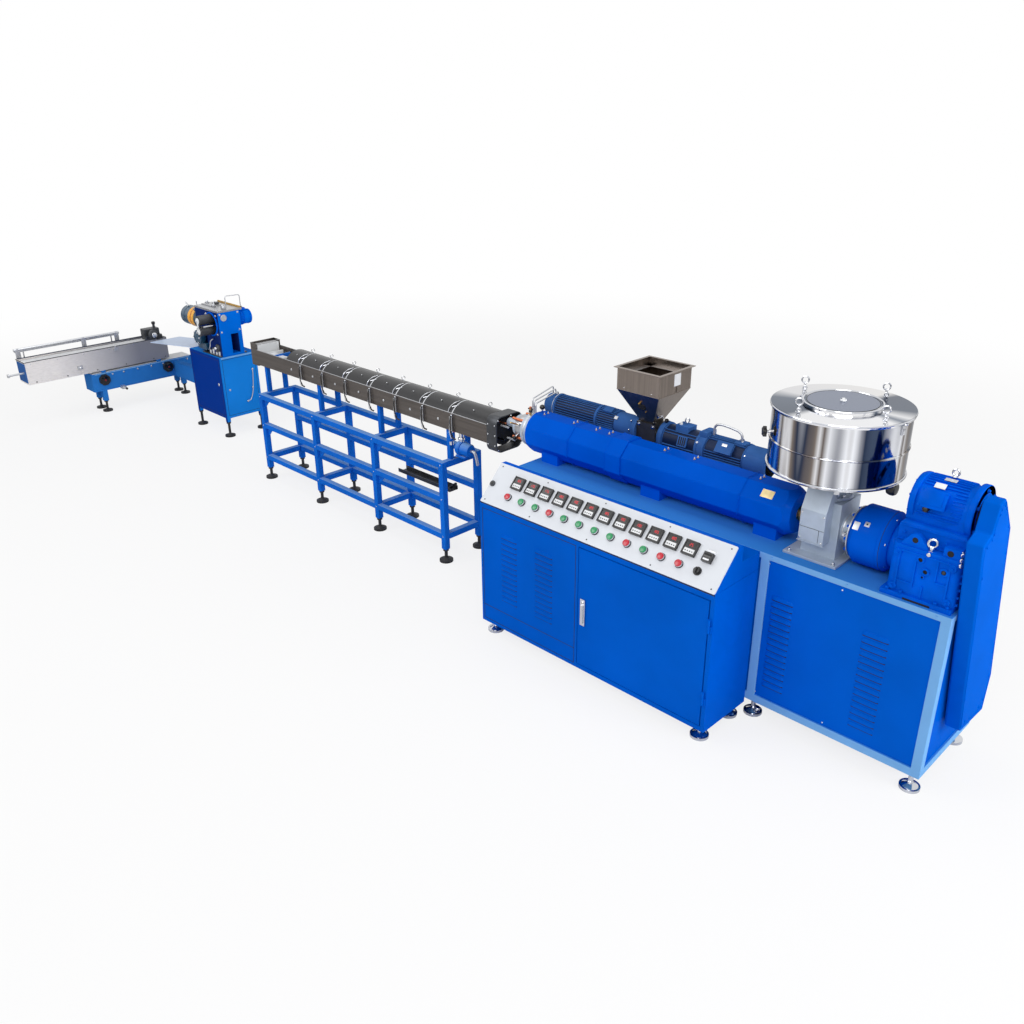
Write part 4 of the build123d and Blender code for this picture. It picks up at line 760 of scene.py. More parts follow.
def louvres(name, left, right, low, high, front, count):
    """Column of pressed louvres on a sheet that faces the front, its sides and levels in millimetres."""
    form = Form()
    width = (right - left) / 1000
    pitch = (high - low) / count
    slat = scoop(width, pitch / 1000 * 0.56, 0.0075)
    # Painted shade: a dark slit under each slat stands for the shade in its opening.
    slit = block(width - 0.008, pitch / 1000 * 0.20, 0.0006, 0)
    middle = (left + right) / 2
    for number in range(count):
        level = low + (number + 0.35) * pitch
        form.put(slat, cabinet_paint, middle, front, level, FRONT, RIGHT)
        form.put(slit, gap_black, middle, front, level - pitch * 0.13, FRONT, RIGHT)
    form.finish(name, "line", "cabinet_blue")


cabinet_front = DATUM.y
panel_front = (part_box("base_panels")[0].y - DATUM.y) * 1000
for number, (left, right) in enumerate(((-1334, -1212), (-1086, -957))):
    louvres(f"cabinet_louvres_{number + 1}", left, right, low=248, high=658, front=0, count=13)
for number, (left, right) in enumerate(((77, 189), (513, 636))):
    louvres(f"base_louvres_{number + 1}", left, right, low=195, high=695, front=panel_front, count=15)


def cabinet_seams():
    """Seams of the fixed sheet, its lower strip, and the shadow gap under the console."""
    form = Form()
    low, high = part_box("control_cabinet")
    left = console_low.x + 0.018
    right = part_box("cabinet_door")[0].x - 0.022
    top, strip_top, foot = high.z - 0.034, 0.178, low.z + 0.022
    width = 0.003

    def seam(wide, tall, x, z):
        form.stamp(block(wide, tall, 0.0006, 0), aim(Vector((x, cabinet_front, z)), FRONT, RIGHT), gap_black)

    for level in (top, strip_top, foot):
        seam(right - left, width, (left + right) / 2, level)
    for x in (left, right):
        seam(width, top - foot, x, (top + foot) / 2)
    seam(console_high.x - console_low.x - 0.004, 0.006, (console_low.x + console_high.x) / 2,
         console_low.z - 0.004)
    form.finish("cabinet_seams", "line", "cabinet_blue")


def handle_trim():
    """Lock barrel, keyhole and rounded grip of the door's handle."""
    form = Form()
    low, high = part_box("door_handle")

    def on_handle(shape, depth, z, material):
        form.stamp(shape, aim(Vector(((low.x + high.x) / 2, low.y + depth, z)), FRONT, RIGHT), material)

    on_handle(disc(0.0075, 0.004, 0.001), 0.006, high.z - 0.018, chrome)
    on_handle(block(0.0016, 0.006, 0.0006, 0), 0.002, high.z - 0.018, gap_black)
    on_handle(block(0.011, 0.05, 0.001, 0.0003), 0.0005, (low.z + high.z) / 2, plate_grey)
    form.finish("handle_trim", "door", "bright_steel")


for build in (controller_faces, button_trim, panel_trim, cabinet_seams, handle_trim):
    build()

# Main extruder


def cover_trim():
    """Sensor fittings, ball knob, seam lines and the bare rating plate of the barrel covers."""
    form = Form()
    socket = rod(6, 3, 1)
    nipple = lathe(((4, 0), (4, 4), (2.6, 6), (2.6, 9), (0, 10)), 12)
    top = AXIS_Z + 111
    for x in (-1530, -1310, -1150, -1060, -700, -520, -150):
        for y in (AXIS_Y - 14, AXIS_Y + 16):
            form.put(socket, brass, x, y, top)
            form.put(nipple, chrome, x, y, top + 3)
    form.put(rod(5, 22), chrome, -1566, AXIS_Y + 6, top)
    form.turn(black_gloss, -1566, AXIS_Y + 6, top + 18, UP,
              ((0, 0), (9, 2), (15, 9), (16, 15), (13, 23), (7, 28), (0, 29)))
    facet = Vector((0, -1, 1)).normalized()
    spot = place(-70, *MAIN) + facet * 0.1112
    form.stamp(slab(62, 40, 1.2, 0.3), aim(spot, facet, RIGHT), gold_plate)
    for dx in (-27, 27):
        for dy in (-16, 16):
            form.stamp(rod(2, 1.6, 0.4, 10), aim(spot, facet, RIGHT) @ moved(dx, dy, 0.8), brass)
    # Rolled edges where the eight-sided covers meet
    half_side = math.radians(22.5)
    reach = 117 / math.cos(half_side)
    for x in (-1269, -1005, -904, -197):
        turns = [half_side + math.radians(45) * step for step in range(9)]
        corners = [(x, AXIS_Y + reach * math.cos(turn), AXIS_Z + reach * math.sin(turn)) for turn in turns]
        for start, end in zip(corners[:-1], corners[1:]):
            form.wire(deep_paint, (start, end), 1.6, 6)
    form.finish("cover_trim", "line", "brass")


def collar_trim():
    """Turned steps of the brass collar and its dark ring by the throat."""
    form = Form()
    form.turn(brass, 72, *MAIN, RIGHT,
              ((34, 0), (40, 2), (40, 12), (36, 16), (36, 24), (39, 28), (39, 36), (35, 40)))
    form.turn(dark_steel, 116, *MAIN, RIGHT, ((35, 0), (46, 0), (48, 3), (48, 9), (35, 9)))
    form.finish("collar_trim", "line", "brass")


def throat_trim():
    """Flanges, bolts, seams, clamp and slide gate of the cast feed throat."""
    form = Form()
    head = bolt(12)
    for x in (96, 308):
        for y in (428, 818):
            form.put(head, chrome, x, y, 902)
    # Flange under the chute and the split line of the chute
    form.put(slab(126, 4, 3, 1), cast_grey, 197, 408, 978, FRONT, RIGHT)
    form.put(slab(116, 1.5, 0.6, 0), gap_black, 197, 409.6, 1046, FRONT, RIGHT)
    form.put(slab(1.5, 60, 0.6, 0), gap_black, 232, 409.6, 1016, FRONT, RIGHT)
    for x, z in ((146, 990), (248, 990), (146, 1112), (248, 1112)):
        form.put(rod(4.5, 4, 1, 16), chrome, x, 410, z, FRONT)
    # Bands and clamp on the shaft between the throat and the guard
    form.put(hoop(69, 4), plate_grey, 300, *MAIN, RIGHT)
    form.put(hoop(70, 3), plate_grey, 340, *MAIN, RIGHT)
    form.put(slab(18, 14, 20, 2), plate_grey, 318, AXIS_Y - 70, AXIS_Z + 6, FRONT)
    form.put(head, chrome, 318, AXIS_Y - 88, AXIS_Z + 6, FRONT)
    # Neck flanges under the tank
    form.turn(cast_grey, TANK_X, AXIS_Y, 1166, UP, ((60, 0), (96, 0), (98, 2), (98, 12), (96, 14), (60, 14)),
              48)
    form.turn(plate_grey, TANK_X, AXIS_Y, 1276, UP,
              ((60, 0), (118, 0), (120, 2), (120, 10), (118, 12), (60, 12)), 48)
    for number in range(8):
        turn = math.radians(22.5 + 45 * number)
        form.put(head, chrome, TANK_X + 84 * math.cos(turn), AXIS_Y + 84 * math.sin(turn), 1180)
    # Slide gate under the tank with its pull knob
    form.put(slab(210, 150, 10, 2), plate_grey, 210, AXIS_Y, 1248)
    form.put(rod(7, 110), chrome, 315, AXIS_Y + 30, 1253, RIGHT)
    form.turn(black_plastic, 420, AXIS_Y + 30, 1253, RIGHT,
              ((0, 0), (12, 0), (26, 8), (30, 20), (30, 34), (24, 44), (0, 48)))
    form.finish("throat_trim", "line", "cast_grey")


def drum_trim():
    """Bolt circle, seam and bare plates of the coupling's drum."""
    form = Form()
    form.turn(plate_grey, 346, *MAIN, RIGHT, ((100, 0), (118, 0), (118, -5), (112, -8), (100, -8)), 48)
    form.circle(bolt(12), cast_paint, 338, *MAIN, 108, 12)
    form.put(hoop(134, 1.6, 64), deep_paint, 478, *MAIN, RIGHT)
    form.put(hoop(134, 1.1, 64), gap_black, 494, *MAIN, RIGHT)
    form.stamp(slab(26, 36, 1.6, 0.3), round_x(376, *MAIN, 133, 34), plate_grey)
    form.stamp(slab(22, 22, 1.6, 0.3), round_x(418, *MAIN, 133.2, 42), plate_grey)
    form.stamp(rod(4, 1, 0.3, 14), round_x(418, *MAIN, 134.8, 42), gap_black)
    for number in range(6):
        form.stamp(rod(5, 3, 1, 14), round_x(510, *MAIN, 119, number * 60 + 15), chrome)
    form.finish("drum_trim", "line", "deep_blue")


def gearbox_trim():
    """Ribs, bosses, plugs, lugs and bolts of the cast gearbox."""
    form = Form()
    front = 376
    for x, low, high, width in (
        (604, 930, 1096, 9), (672, 950, 1078, 8), (758, 1006, 1096, 8), (712, 914, 968, 8), (806, 930, 1096,
                                                                                             9),
    ):
        form.put(slab(width, high - low, 7, 2.5), cast_paint, x, front + 1, (low + high) / 2, FRONT, RIGHT)
    for x, z, length in ((705, 1100, 200), (640, 964, 62), (782, 1002, 46)):
        form.put(slab(length, 8, 6, 2.5), cast_paint, x, front + 1, z, FRONT, RIGHT)
    boss = lathe(((17, -2), (17, 5), (15, 8), (0, 8)))
    for x, z in ((596, 1086), (816, 1086), (596, 934), (816, 934)):
        form.put(boss, cast_paint, x, front, z, FRONT)
        form.put(bolt(12), cast_paint, x, front - 8, z, FRONT)
    plug_ring = lathe(((9, 0), (17, 0), (17, 5), (15, 7), (9, 7)))
    for x, z, size in ((690, 1082, 1.0), (716, 1036, 1.0), (708, 1010, 0.55), (786, 1058, 1.1)):
        grow = at(x, front, z, FRONT) @ Matrix.Diagonal((size, size, 1, 1))
        form.stamp(plug_ring, grow, cast_paint)
        form.stamp(rod(10, 2, 0.4), grow, gap_black)
    form.put(hexagon(14, 7), dark_steel, 786, front - 1, 1058, FRONT)
    # Feet: bolts, and a dark strip of painted shade for the space under the middle
    for x in (578, 634, 776, 826):
        form.put(bolt(16), cast_paint, x, 369, 912)
    form.put(slab(112, 8, 1, 0), gap_black, 705, 361.8, 896, FRONT, RIGHT)
    # Lifting lug on the front edge of the lid
    lug = [(-58, 0), (58, 0), (44, 26)]
    for step in range(9):
        turn = math.radians(20 + 140 * step / 8)
        lug.append((34 * math.cos(turn), 26 + 34 * math.sin(turn)))
    lug.append((-44, 26))
    form.put(outline(lug, 26, 4), cast_paint, 652, 408, 1118, FRONT, RIGHT)
    form.put(rod(12, 1, 0.2), gap_black, 652, 382.4, 1152, FRONT)
    form.put(rod(11, 16, 2), chrome, 716, 398, 1120)
    form.put(hoop(17, 5.5), chrome, 716, 398, 1154, Vector((0.35, -1, 0.1)))
    form.put(bolt(18), chrome, 716, 384, 1112, FRONT)
    # Second lug by the guard, with its dark eye and bright bolts
    form.put(slab(70, 40, 46, 8), cast_paint, 800, 402, 1116)
    form.put(rod(13, 1, 0.2), gap_black, 794, 381.6, 1140, FRONT)
    for z in (1148, 1126, 1104):
        form.put(bolt(18), chrome, 836, 390, z, Vector((0.5, -1, 0)))
    # Bolts along the right side and the lid's flange
    for number in range(6):
        form.put(bolt(11), cast_paint, 844, 398, 925 + 33 * number, RIGHT)
    for x in (590, 640, 690, 740, 790):
        form.put(bolt(11), cast_paint, x, 662, 1122)
    form.put(slab(268, 8, 6, 2), cast_paint, 700, 420, 1128, FRONT, RIGHT)
    form.put(slab(248, 6, 5, 2), cast_paint, 700, 420, 1190, FRONT, RIGHT)
    for x in (592, 640, 760, 808):
        form.put(bolt(11), cast_paint, x, 420, 1160, FRONT)
    # Left face: ring of bolts round the shaft's flange
    for number in range(8):
        turn = math.radians(22.5 + 45 * number)
        y, z = AXIS_Y + 116 * math.cos(turn), 1006 + 90 * math.sin(turn)
        form.put(bolt(12), cast_paint, 566, y, z, LEFT)
    form.turn(gap_black, 522, *MAIN, RIGHT, ((80, 0), (98, 0), (98, 16), (94, 20), (80, 20)), 48)
    form.finish("gearbox_trim", "line", "deep_blue")


def drive_trim():
    """Cooling ribs, terminal box, end plates, eyebolt and bare plates of the upper drive."""
    form = Form()
    middle = (551, 1268)
    long_fin = slab(168, 3.4, 9, 1.2)
    short_fin = slab(44, 3.4, 9, 1.2)
    for angle in range(-40, 232, 8):
        # The fins beside the terminal box are short.
        x, fin = (762, short_fin) if 0 <= angle <= 48 else (694, long_fin)
        form.stamp(fin, round_x(x, *middle, 102, angle), cast_paint)
    form.turn(cast_paint, 572, *middle, RIGHT,
              ((0, 0), (96, 0), (108, 6), (111, 14), (111, 26), (104, 30), (96, 30)), 48)
    form.circle(bolt(11), cast_paint, 572, *middle, 86, 8, 22.5)
    form.turn(cast_paint, 572, *middle, LEFT, ((0, 0), (34, 0), (34, 6), (28, 9), (0, 9)), 32)
    box = round_x(672, *middle, 98, 24)
    form.stamp(slab(98, 70, 28, 6), box, cast_paint)
    form.stamp(slab(106, 78, 7, 3), box @ moved(0, 0, 24), cast_paint)
    form.stamp(slab(78, 52, 4, 2), box @ moved(0, 0, 30), cast_paint)
    for dx in (-46, 46):
        for dy in (-32, 32):
            form.stamp(rod(4, 4, 1, 14), box @ moved(dx, dy, 31), cast_paint)
    form.stamp(slab(44, 26, 1.4, 0.3), round_x(672, *middle, 111, 56), plate_grey)
    form.stamp(lathe(((12, 0), (14, 4), (14, 14), (9, 22), (0, 24)), 16),
               box @ moved(-20, -34, 13) @ QUARTER_X, black_plastic)
    form.stamp(slab(48, 22, 1.4, 0.3), round_x(694, *middle, 111, 80), plate_grey)
    form.stamp(lathe(((0, 0), (10, 0), (12, 4), (12, 12), (7, 16), (0, 16)), 20),
               round_x(694, *middle, 104, 98), chrome)
    form.stamp(hoop(13, 4.5), round_x(694, *middle, 134, 98) @ QUARTER_X, chrome)
    form.turn(cast_paint, 804, *middle, RIGHT, ((86, 0), (116, 0), (118, 3), (118, 23), (115, 26), (86, 26)),
              64)
    # Painted shade: a dark body fills the gap between the drive's end and the belt guard.
    form.turn(gap_black, 828, *middle, RIGHT, ((34, 0), (70, 0), (74, 5), (70, 30), (40, 36), (34, 36)), 48)
    form.circle(bolt(12), cast_paint, 830, *middle, 98, 6, 30, RIGHT)
    form.finish("drive_trim", "line", "deep_blue")


GUARD_OUTLINE = (
    (300, 1245), (366, 1272), (396, 1386), (442, 1400), (568, 1246), (786, 455), (774, 276), (516, 292),
)


def guard_trim():
    """Folded rim and screws on both faces of the belt guard."""
    form = Form()
    middle_y = sum(y for y, z in GUARD_OUTLINE) / len(GUARD_OUTLINE)
    middle_z = sum(z for y, z in GUARD_OUTLINE) / len(GUARD_OUTLINE)

    def drawn_in(y, z, share_y, share_z):
        return middle_y + (y - middle_y) * share_y, middle_z + (z - middle_z) * share_z

    rim = [drawn_in(y, z, 0.93, 0.965) for y, z in GUARD_OUTLINE]
    screw = rod(5, 3, 1, 16)
    for face, x in ((RIGHT, 931), (LEFT, 865)):
        for start, end in zip(rim, rim[1:] + rim[:1]):
            form.wire(guard_paint, ((x, *start), (x, *end)), 2, 6)
            for share in (0.15, 0.85):
                y, z = start[0] + (end[0] - start[0]) * share, start[1] + (end[1] - start[1]) * share
                form.put(screw, guard_paint, x, *drawn_in(y, z, 0.93, 0.97), face)
    form.finish("guard_trim", "line", "deep_blue")


def tank_trim():
    """Lid ring, grey disc, rolled rims, star knob, clasps and brackets of the tank."""
    form = Form()
    centre = (TANK_X, AXIS_Y)
    form.put(hoop(164, 4, 72), chrome, *centre, 1590)
    form.put(hoop(150, 1.4, 72), dark_steel, *centre, 1590.5)
    form.put(rod(148, 1.2, 0.3, 72), lid_steel, *centre, 1590)
    form.turn(white_plastic, *centre, 1591, UP, ((0, 0), (13, 0), (14, 3), (12, 8), (6, 11), (0, 12)), 28)
    form.put(hoop(294, 5, 96), chrome, *centre, 1572)
    form.put(hoop(290, 5.5, 96), chrome, *centre, 1301)
    # Star knob on the left and clasps on the wall
    def on_wall(angle, z, lift=0.0):
        turn = math.radians(angle)
        out = Vector((math.cos(turn), math.sin(turn), 0))
        return aim(place(*centre, z) + out * (288 + lift) / 1000, out, UP)

    form.stamp(rod(6, 26), on_wall(222, 1452), chrome)
    form.stamp(lathe(((0, 0), (15, 0), (17, 4), (17, 14), (13, 18), (0, 18))), on_wall(222, 1452, 20),
               black_plastic)
    for number in range(5):
        spin = Matrix.Rotation(2 * math.pi * number / 5, 4, "Z") @ moved(17, 0, 0)
        form.stamp(rod(7, 16, 3, 16), on_wall(222, 1452, 21) @ spin, black_plastic)
    for angle in (-8, 172):
        form.stamp(slab(46, 22, 5, 1.5), on_wall(angle, 1540), chrome)
        form.stamp(slab(26, 12, 9, 2), on_wall(angle, 1532), chrome)
        form.stamp(hoop(10, 2.5, 20), on_wall(angle, 1566, 8) @ QUARTER_Y, chrome)
    # Brackets from the tank's floor to its rim
    for number in range(3):
        form.stamp(slab(30, 22, 18, 3), on_wall(60 + number * 120, 1288, -26), plate_grey)
    form.finish("tank_trim", "line", "bright_steel")


EYEBOLT_RADIUS = 240
EYEBOLT_START = 70


def eyebolts():
    """Four eyebolts on the lid's rim, each with an S-hook hanging from its eye."""
    form = Form()
    for number in range(4):
        turn = math.radians(EYEBOLT_START + 90 * number)
        x = TANK_X + EYEBOLT_RADIUS * math.cos(turn)
        y = AXIS_Y + EYEBOLT_RADIUS * math.sin(turn)
        across = Vector((0.55, -0.83, 0))
        form.turn(chrome, x, y, 1577, UP, ((0, 0), (13, 0), (13, 2), (9, 3), (0, 3)), 20)
        form.put(hexagon(16, 8), chrome, x, y, 1580)
        form.put(rod(4.5, 26, 1, 16), chrome, x, y, 1586)
        form.put(hoop(15, 3.6, 28), chrome, x, y, 1622, across)
        form.put(hoop(8, 2.6, 20), chrome, x + 5, y - 8, 1604, Vector((0.8, 0.5, 0.1)))
        form.put(hoop(8, 2.6, 20), chrome, x + 9, y - 14, 1591, across)
    form.finish("eyebolts", "line", "bright_steel", replaces=("tank_eyebolts",))


# Side extruder


def fins(form, low, high, radius, depth, count, skip=()):
    """Ribs on the side extruder's axis over a darker drum that is painted shade between them, left out
    between some angles.
    """
    # Painted shade: the dark sleeve under the ribs darkens the gaps between them.
    form.turn(slate_gap, low, *SIDE, RIGHT,
              ((radius - 6, 0), (radius + 0.6, 0), (radius + 0.6, high - low), (radius - 6, high - low)), 48)
    fin = slab(high - low, 3.4, depth, 1)
    for number in range(count):
        angle = 360 * number / count - 180
        if any(start <= angle <= end for start, end in skip):
            continue
        form.stamp(fin, round_x((low + high) / 2, *SIDE, radius - 1, angle), slate_paint)


def side_barrel_trim():
    """Ribs, bands and fittings of the side extruder's left unit."""
    form = Form()
    fins(form, -1646, -1352, 66, 6, 30)
    fins(form, -1330, -1210, 63, 9, 34)
    form.put(hoop(72, 2, 48), plate_grey, -1665, *SIDE, RIGHT)
    form.turn(slate_paint, -1733, *SIDE, RIGHT, ((0, 0), (50, 0), (58, 5), (62, 12), (62, 16), (40, 16)), 40)
    form.stamp(slab(60, 46, 16, 4), round_x(-1270, *SIDE, 62, 70), slate_paint)
    form.stamp(slab(22, 18, 3, 0.6), round_x(-1200, *SIDE, 66, 40), white_plastic)
    form.circle(bolt(11), chrome, -1092, *SIDE, 66, 8)
    for x in (-1640, -1350, -1130):
        form.put(bolt(14), chrome, x, SIDE_Y - 66, 898)
    form.finish("side_barrel_trim", "line", "slate_blue")


def side_motor_trim():
    """Ribs, panels, bolts, fan cover, terminal box and curved handle of the side extruder's gearmotor."""
    form = Form()
    # Driven end: flange bolts and steps
    form.circle(bolt(14), dark_steel, -900, *SIDE, 66, 8, 22.5)
    form.put(hoop(80, 2, 48), slate_paint, -900, *SIDE, RIGHT)
    fins(form, -868, -668, 70, 8, 28, ((-2, 38), (60, 122)))
    panel = round_x(-742, *SIDE, 68, 18)
    form.stamp(slab(58, 56, 9, 2), panel, slate_paint)
    for number in range(4):
        form.stamp(slab(7, 44, 1, 0), panel @ moved(-18 + number * 12, 0, 9), gap_black)
    form.put(slab(86, 70, 6, 3), slate_paint, -769, SIDE_Y, 1188)
    form.put(rod(9, 10, 2), white_plastic, -790, SIDE_Y - 18, 1194)
    form.put(rod(5, 14), chrome, -768, SIDE_Y + 6, 1192)
    form.put(hoop(11, 3.6, 24), chrome, -768, SIDE_Y + 6, 1216, Vector((0.5, -0.8, 0)))
    # Middle ring with its yellow-white plug
    form.turn(slate_paint, -664, *SIDE, RIGHT, ((70, 0), (82, 0), (84, 3), (84, 11), (82, 14), (70, 14)), 48)
    form.put(slab(46, 92, 30, 8), slate_paint, -634, SIDE_Y, 1166)
    form.stamp(rod(6, 4, 1), round_x(-650, *SIDE, 80, 30), white_plastic)
    # Motor: ribs, terminal box, fan cover
    fins(form, -604, -388, 70, 9, 34, ((14, 58),))
    box = round_x(-486, *SIDE, 66, 36)
    form.stamp(slab(88, 58, 26, 4), box, slate_paint)
    form.stamp(slab(94, 64, 5, 2), box @ moved(0, 0, 24), slate_paint)
    form.stamp(slab(30, 14, 2, 0.5), box @ moved(0, 12, 28), plate_grey)
    form.put(hoop(75, 1.6, 48), slate_paint, -380, *SIDE, RIGHT)
    form.turn(slate_paint, -252, *SIDE, RIGHT, ((0, 0), (62, 0), (70, -5), (74, -12)), 40)
    for radius in (14, 26, 38, 50):
        form.put(hoop(radius, 1.4, 40), gap_black, -251, *SIDE, RIGHT)
    for number in range(3):
        form.stamp(rod(4, 3, 1, 12), round_x(-370, *SIDE, 74, 30 + number * 110), chrome)
    # Curved carrying handle with its eye
    form.wire(plate_grey,
              ((-598, SIDE_Y, 1176), (-592, SIDE_Y, 1226), (-556, SIDE_Y, 1242), (-470, SIDE_Y, 1234),
               (-436, SIDE_Y, 1218), (-430, SIDE_Y, 1186)), 6.5, 12)
    form.put(hoop(9, 3, 20), chrome, -430, SIDE_Y, 1190, Vector((0.6, -0.8, 0)))
    form.put(slab(60, 60, 10, 2), slate_paint, -430, SIDE_Y, 1170)
    # Grey foot under the fan end
    form.put(slab(64, 132, 8, 2), plate_grey, -420, SIDE_Y, 890)
    form.put(slab(26, 10, 96, 2), plate_grey, -420, SIDE_Y - 56, 892)
    for dy in (-58, 58):
        form.put(bolt(14), chrome, -398, SIDE_Y + dy, 898)
    form.finish("side_motor_trim", "line", "slate_blue")


HOPPER_X = -994
HOPPER_HALF = 139


def hopper_rim(form, grow, z, radius):
    """Rolled edge round the square hopper at a level."""
    reach = HOPPER_HALF + grow
    turns = ((-1, -1), (1, -1), (1, 1), (-1, 1), (-1, -1))
    corners = [(HOPPER_X + reach * across, SIDE_Y + reach * back, z) for across, back in turns]
    for start, end in zip(corners[:-1], corners[1:]):
        form.wire(hopper_steel, (start, end), radius, 6)


def hopper_trim():
    """Folded lip, inner ledge, sight window, latch and bare plate of the stainless hopper."""
    form = Form()
    hopper_rim(form, 14, 1465, 2.0)
    # Ledge inside the box, and the seam where the funnel meets the box
    for sign in (-1, 1):
        form.put(slab(272, 36, 3, 1), brushed_steel, HOPPER_X, SIDE_Y + sign * 118, 1424)
        form.put(slab(36, 272, 3, 1), brushed_steel, HOPPER_X + sign * 118, SIDE_Y, 1424)
    hopper_rim(form, 0.5, 1345, 1.4)
    # Sight window with its knob on the funnel's front, latch on its right
    fall = Vector((0, -183, -97)).normalized()
    spot = place(HOPPER_X + 2, SIDE_Y - 95, 1262) + fall * 0.0004
    window = aim(spot, fall, RIGHT)
    turns = [math.radians(angle) for angle in range(0, 360, 20)]
    oval = [(24 * math.cos(turn), 20 * math.sin(turn)) for turn in turns]
    form.stamp(outline(oval, 2.4, 0.6), window, gap_black)
    form.stamp(rod(6, 12, 2), window @ moved(-6, 28, 0), brass)
    form.stamp(rod(3, 6, 1), window @ moved(16, -30, 0), brass)
    side_fall = Vector((183, 0, -97)).normalized()
    latch = aim(place(HOPPER_X + 70, SIDE_Y - 30, 1214), side_fall, BACK)
    form.stamp(slab(40, 16, 10, 2), latch, chrome)
    form.stamp(rod(3.5, 40), latch @ moved(12, 0, 6), chrome)
    form.stamp(lathe(((0, 0), (8, 1), (12, 7), (12, 14), (7, 20), (0, 21))), latch @ moved(12, 0, 36),
               black_gloss)
    form.turn(black_gloss, HOPPER_X + 52, SIDE_Y - 54, 1176, Vector((1, -0.6, 0.2)),
              ((0, 0), (7, 1), (10, 6), (10, 12), (6, 17), (0, 18)))
    form.put(slab(56, 64, 1, 0.3), white_plastic, HOPPER_X + HOPPER_HALF, SIDE_Y + 16, 1416, RIGHT, BACK)
    form.put(slab(12, 34, 3, 1), hopper_steel, HOPPER_X + HOPPER_HALF, SIDE_Y + 16, 1366, RIGHT, BACK)
    for dx in (-90, 90):
        form.put(rod(3, 2, 0.6, 12), chrome, HOPPER_X + dx, SIDE_Y - HOPPER_HALF, 1360, FRONT)
    # Bolted throat block under it
    for x in (-1040, -948):
        for z in (1056, 1148):
            form.put(bolt(12), chrome, x, SIDE_Y - 52, z, FRONT)
    form.put(hoop(40, 4, 32), chrome, -926, *SIDE, RIGHT)
    form.put(hoop(41, 3, 32), plate_grey, -912, *SIDE, RIGHT)
    form.finish("hopper_trim", "line", "brushed")


# Die and cooling trough


def die_trim():
    """Bolts, band heater, clamp knobs, small valve and wiring studs round the die."""
    form = Form()
    form.circle(bolt(14), chrome, -1646, *MAIN, 82, 10, 18)
    form.turn(plate_grey, -1632, *MAIN, RIGHT, ((62, 0), (98, 0), (99, 4), (99, 10), (96, 13), (62, 13)), 48)
    form.turn(brushed_steel, -1716, *MAIN, RIGHT, ((60, 0), (67, 0), (68, 3), (68, 56), (67, 60), (60, 60)),
              48)
    form.stamp(slab(26, 16, 16, 2), round_x(-1686, *MAIN, 67, 24), plate_grey)
    form.stamp(rod(4, 60), round_x(-1686, *MAIN, 80, 24), brass)
    for x, angle in ((-1640, 205), (-1640, 150), (-1704, -34)):
        form.stamp(rod(5, 20), round_x(x, *MAIN, 66, angle), chrome)
        form.stamp(lathe(((0, 0), (9, 1), (13, 7), (13, 13), (8, 19), (0, 20))), round_x(x, *MAIN, 84, angle),
                   black_gloss)
    # Valve with its cross handle over the flange
    form.put(rod(7, 46, 2), brass, -1624, AXIS_Y - 30, 1116)
    form.put(rod(10, 14, 2), dark_steel, -1624, AXIS_Y - 30, 1140)
    form.put(rod(4, 34, 1), dark_steel, -1641, AXIS_Y - 30, 1158, RIGHT)
    form.put(rod(8, 12, 2), copper, -1624, AXIS_Y - 30, 1160)
    # Collar box: screws and the studs inside
    for y, z in ((470, 870), (470, 1052), (656, 870), (656, 1052)):
        form.put(rod(5, 3, 1, 16), chrome, -1829, y, z, RIGHT)
    for x in (-1900, -1842):
        for z in (900, 962, 1024):
            form.put(rod(4.5, 3, 1, 14), chrome, x, 455, z, FRONT)
    form.turn(gap_black, -1880, 563, 962, RIGHT, ((0, 0), (88, 0), (88, 6), (0, 6)), 40)
    for y, z, material in ((520, 1030, copper), (540, 1000, white_plastic), (600, 1040, copper),
                           (510, 930, black_gloss), (590, 910, white_plastic)):
        form.put(rod(6, 62, 1.5, 16), material, -1874, y, z, RIGHT)
    form.finish("die_trim", "line", "cast_grey")


HOOPS = [-3859 + 273 * number for number in range(7)]
TROUGH_Y = 563
COVERS_LEFT, COVERS_RIGHT = -4055, -1913


def hoop_trim():
    """Clips, front clasps and rigid drain stubs at each hoop of the trough."""
    form = Form()
    clip = slab(14, 26, 7, 1.5)
    for x in HOOPS:
        form.wire(chrome,
                  ((x - 34, 459, 1016), (x - 30, 470, 1042), (x - 22, 500, 1064), (x - 14, 540, 1071)), 3.2,
                  8)
        form.put(clip, chrome, x, 459, 996, FRONT)
        form.put(rod(4, 6, 1, 12), chrome, x, 452, 1002, FRONT)
        form.put(slab(9, 88, 4, 1), brushed_steel, x, 457, 944, FRONT, RIGHT)
        form.wire(gap_black, ((x, 446, 1004), (x, 440, 960), (x + 2, 440, 910), (x + 10, 446, 872)), 3.6, 8)
        form.wire(black_plastic, ((x + 6, 446, 880), (x + 14, 448, 862), (x + 34, 452, 856)), 5, 10)
        form.wire(white_plastic, ((x - 9, 448, 996), (x - 10, 444, 900), (x - 4, 450, 850)), 2.4, 8)
        form.put(rod(8, 4, 1, 18), plate_grey, x - 130, 459, 952, FRONT)
    form.finish("hoop_trim", "line", "brushed")


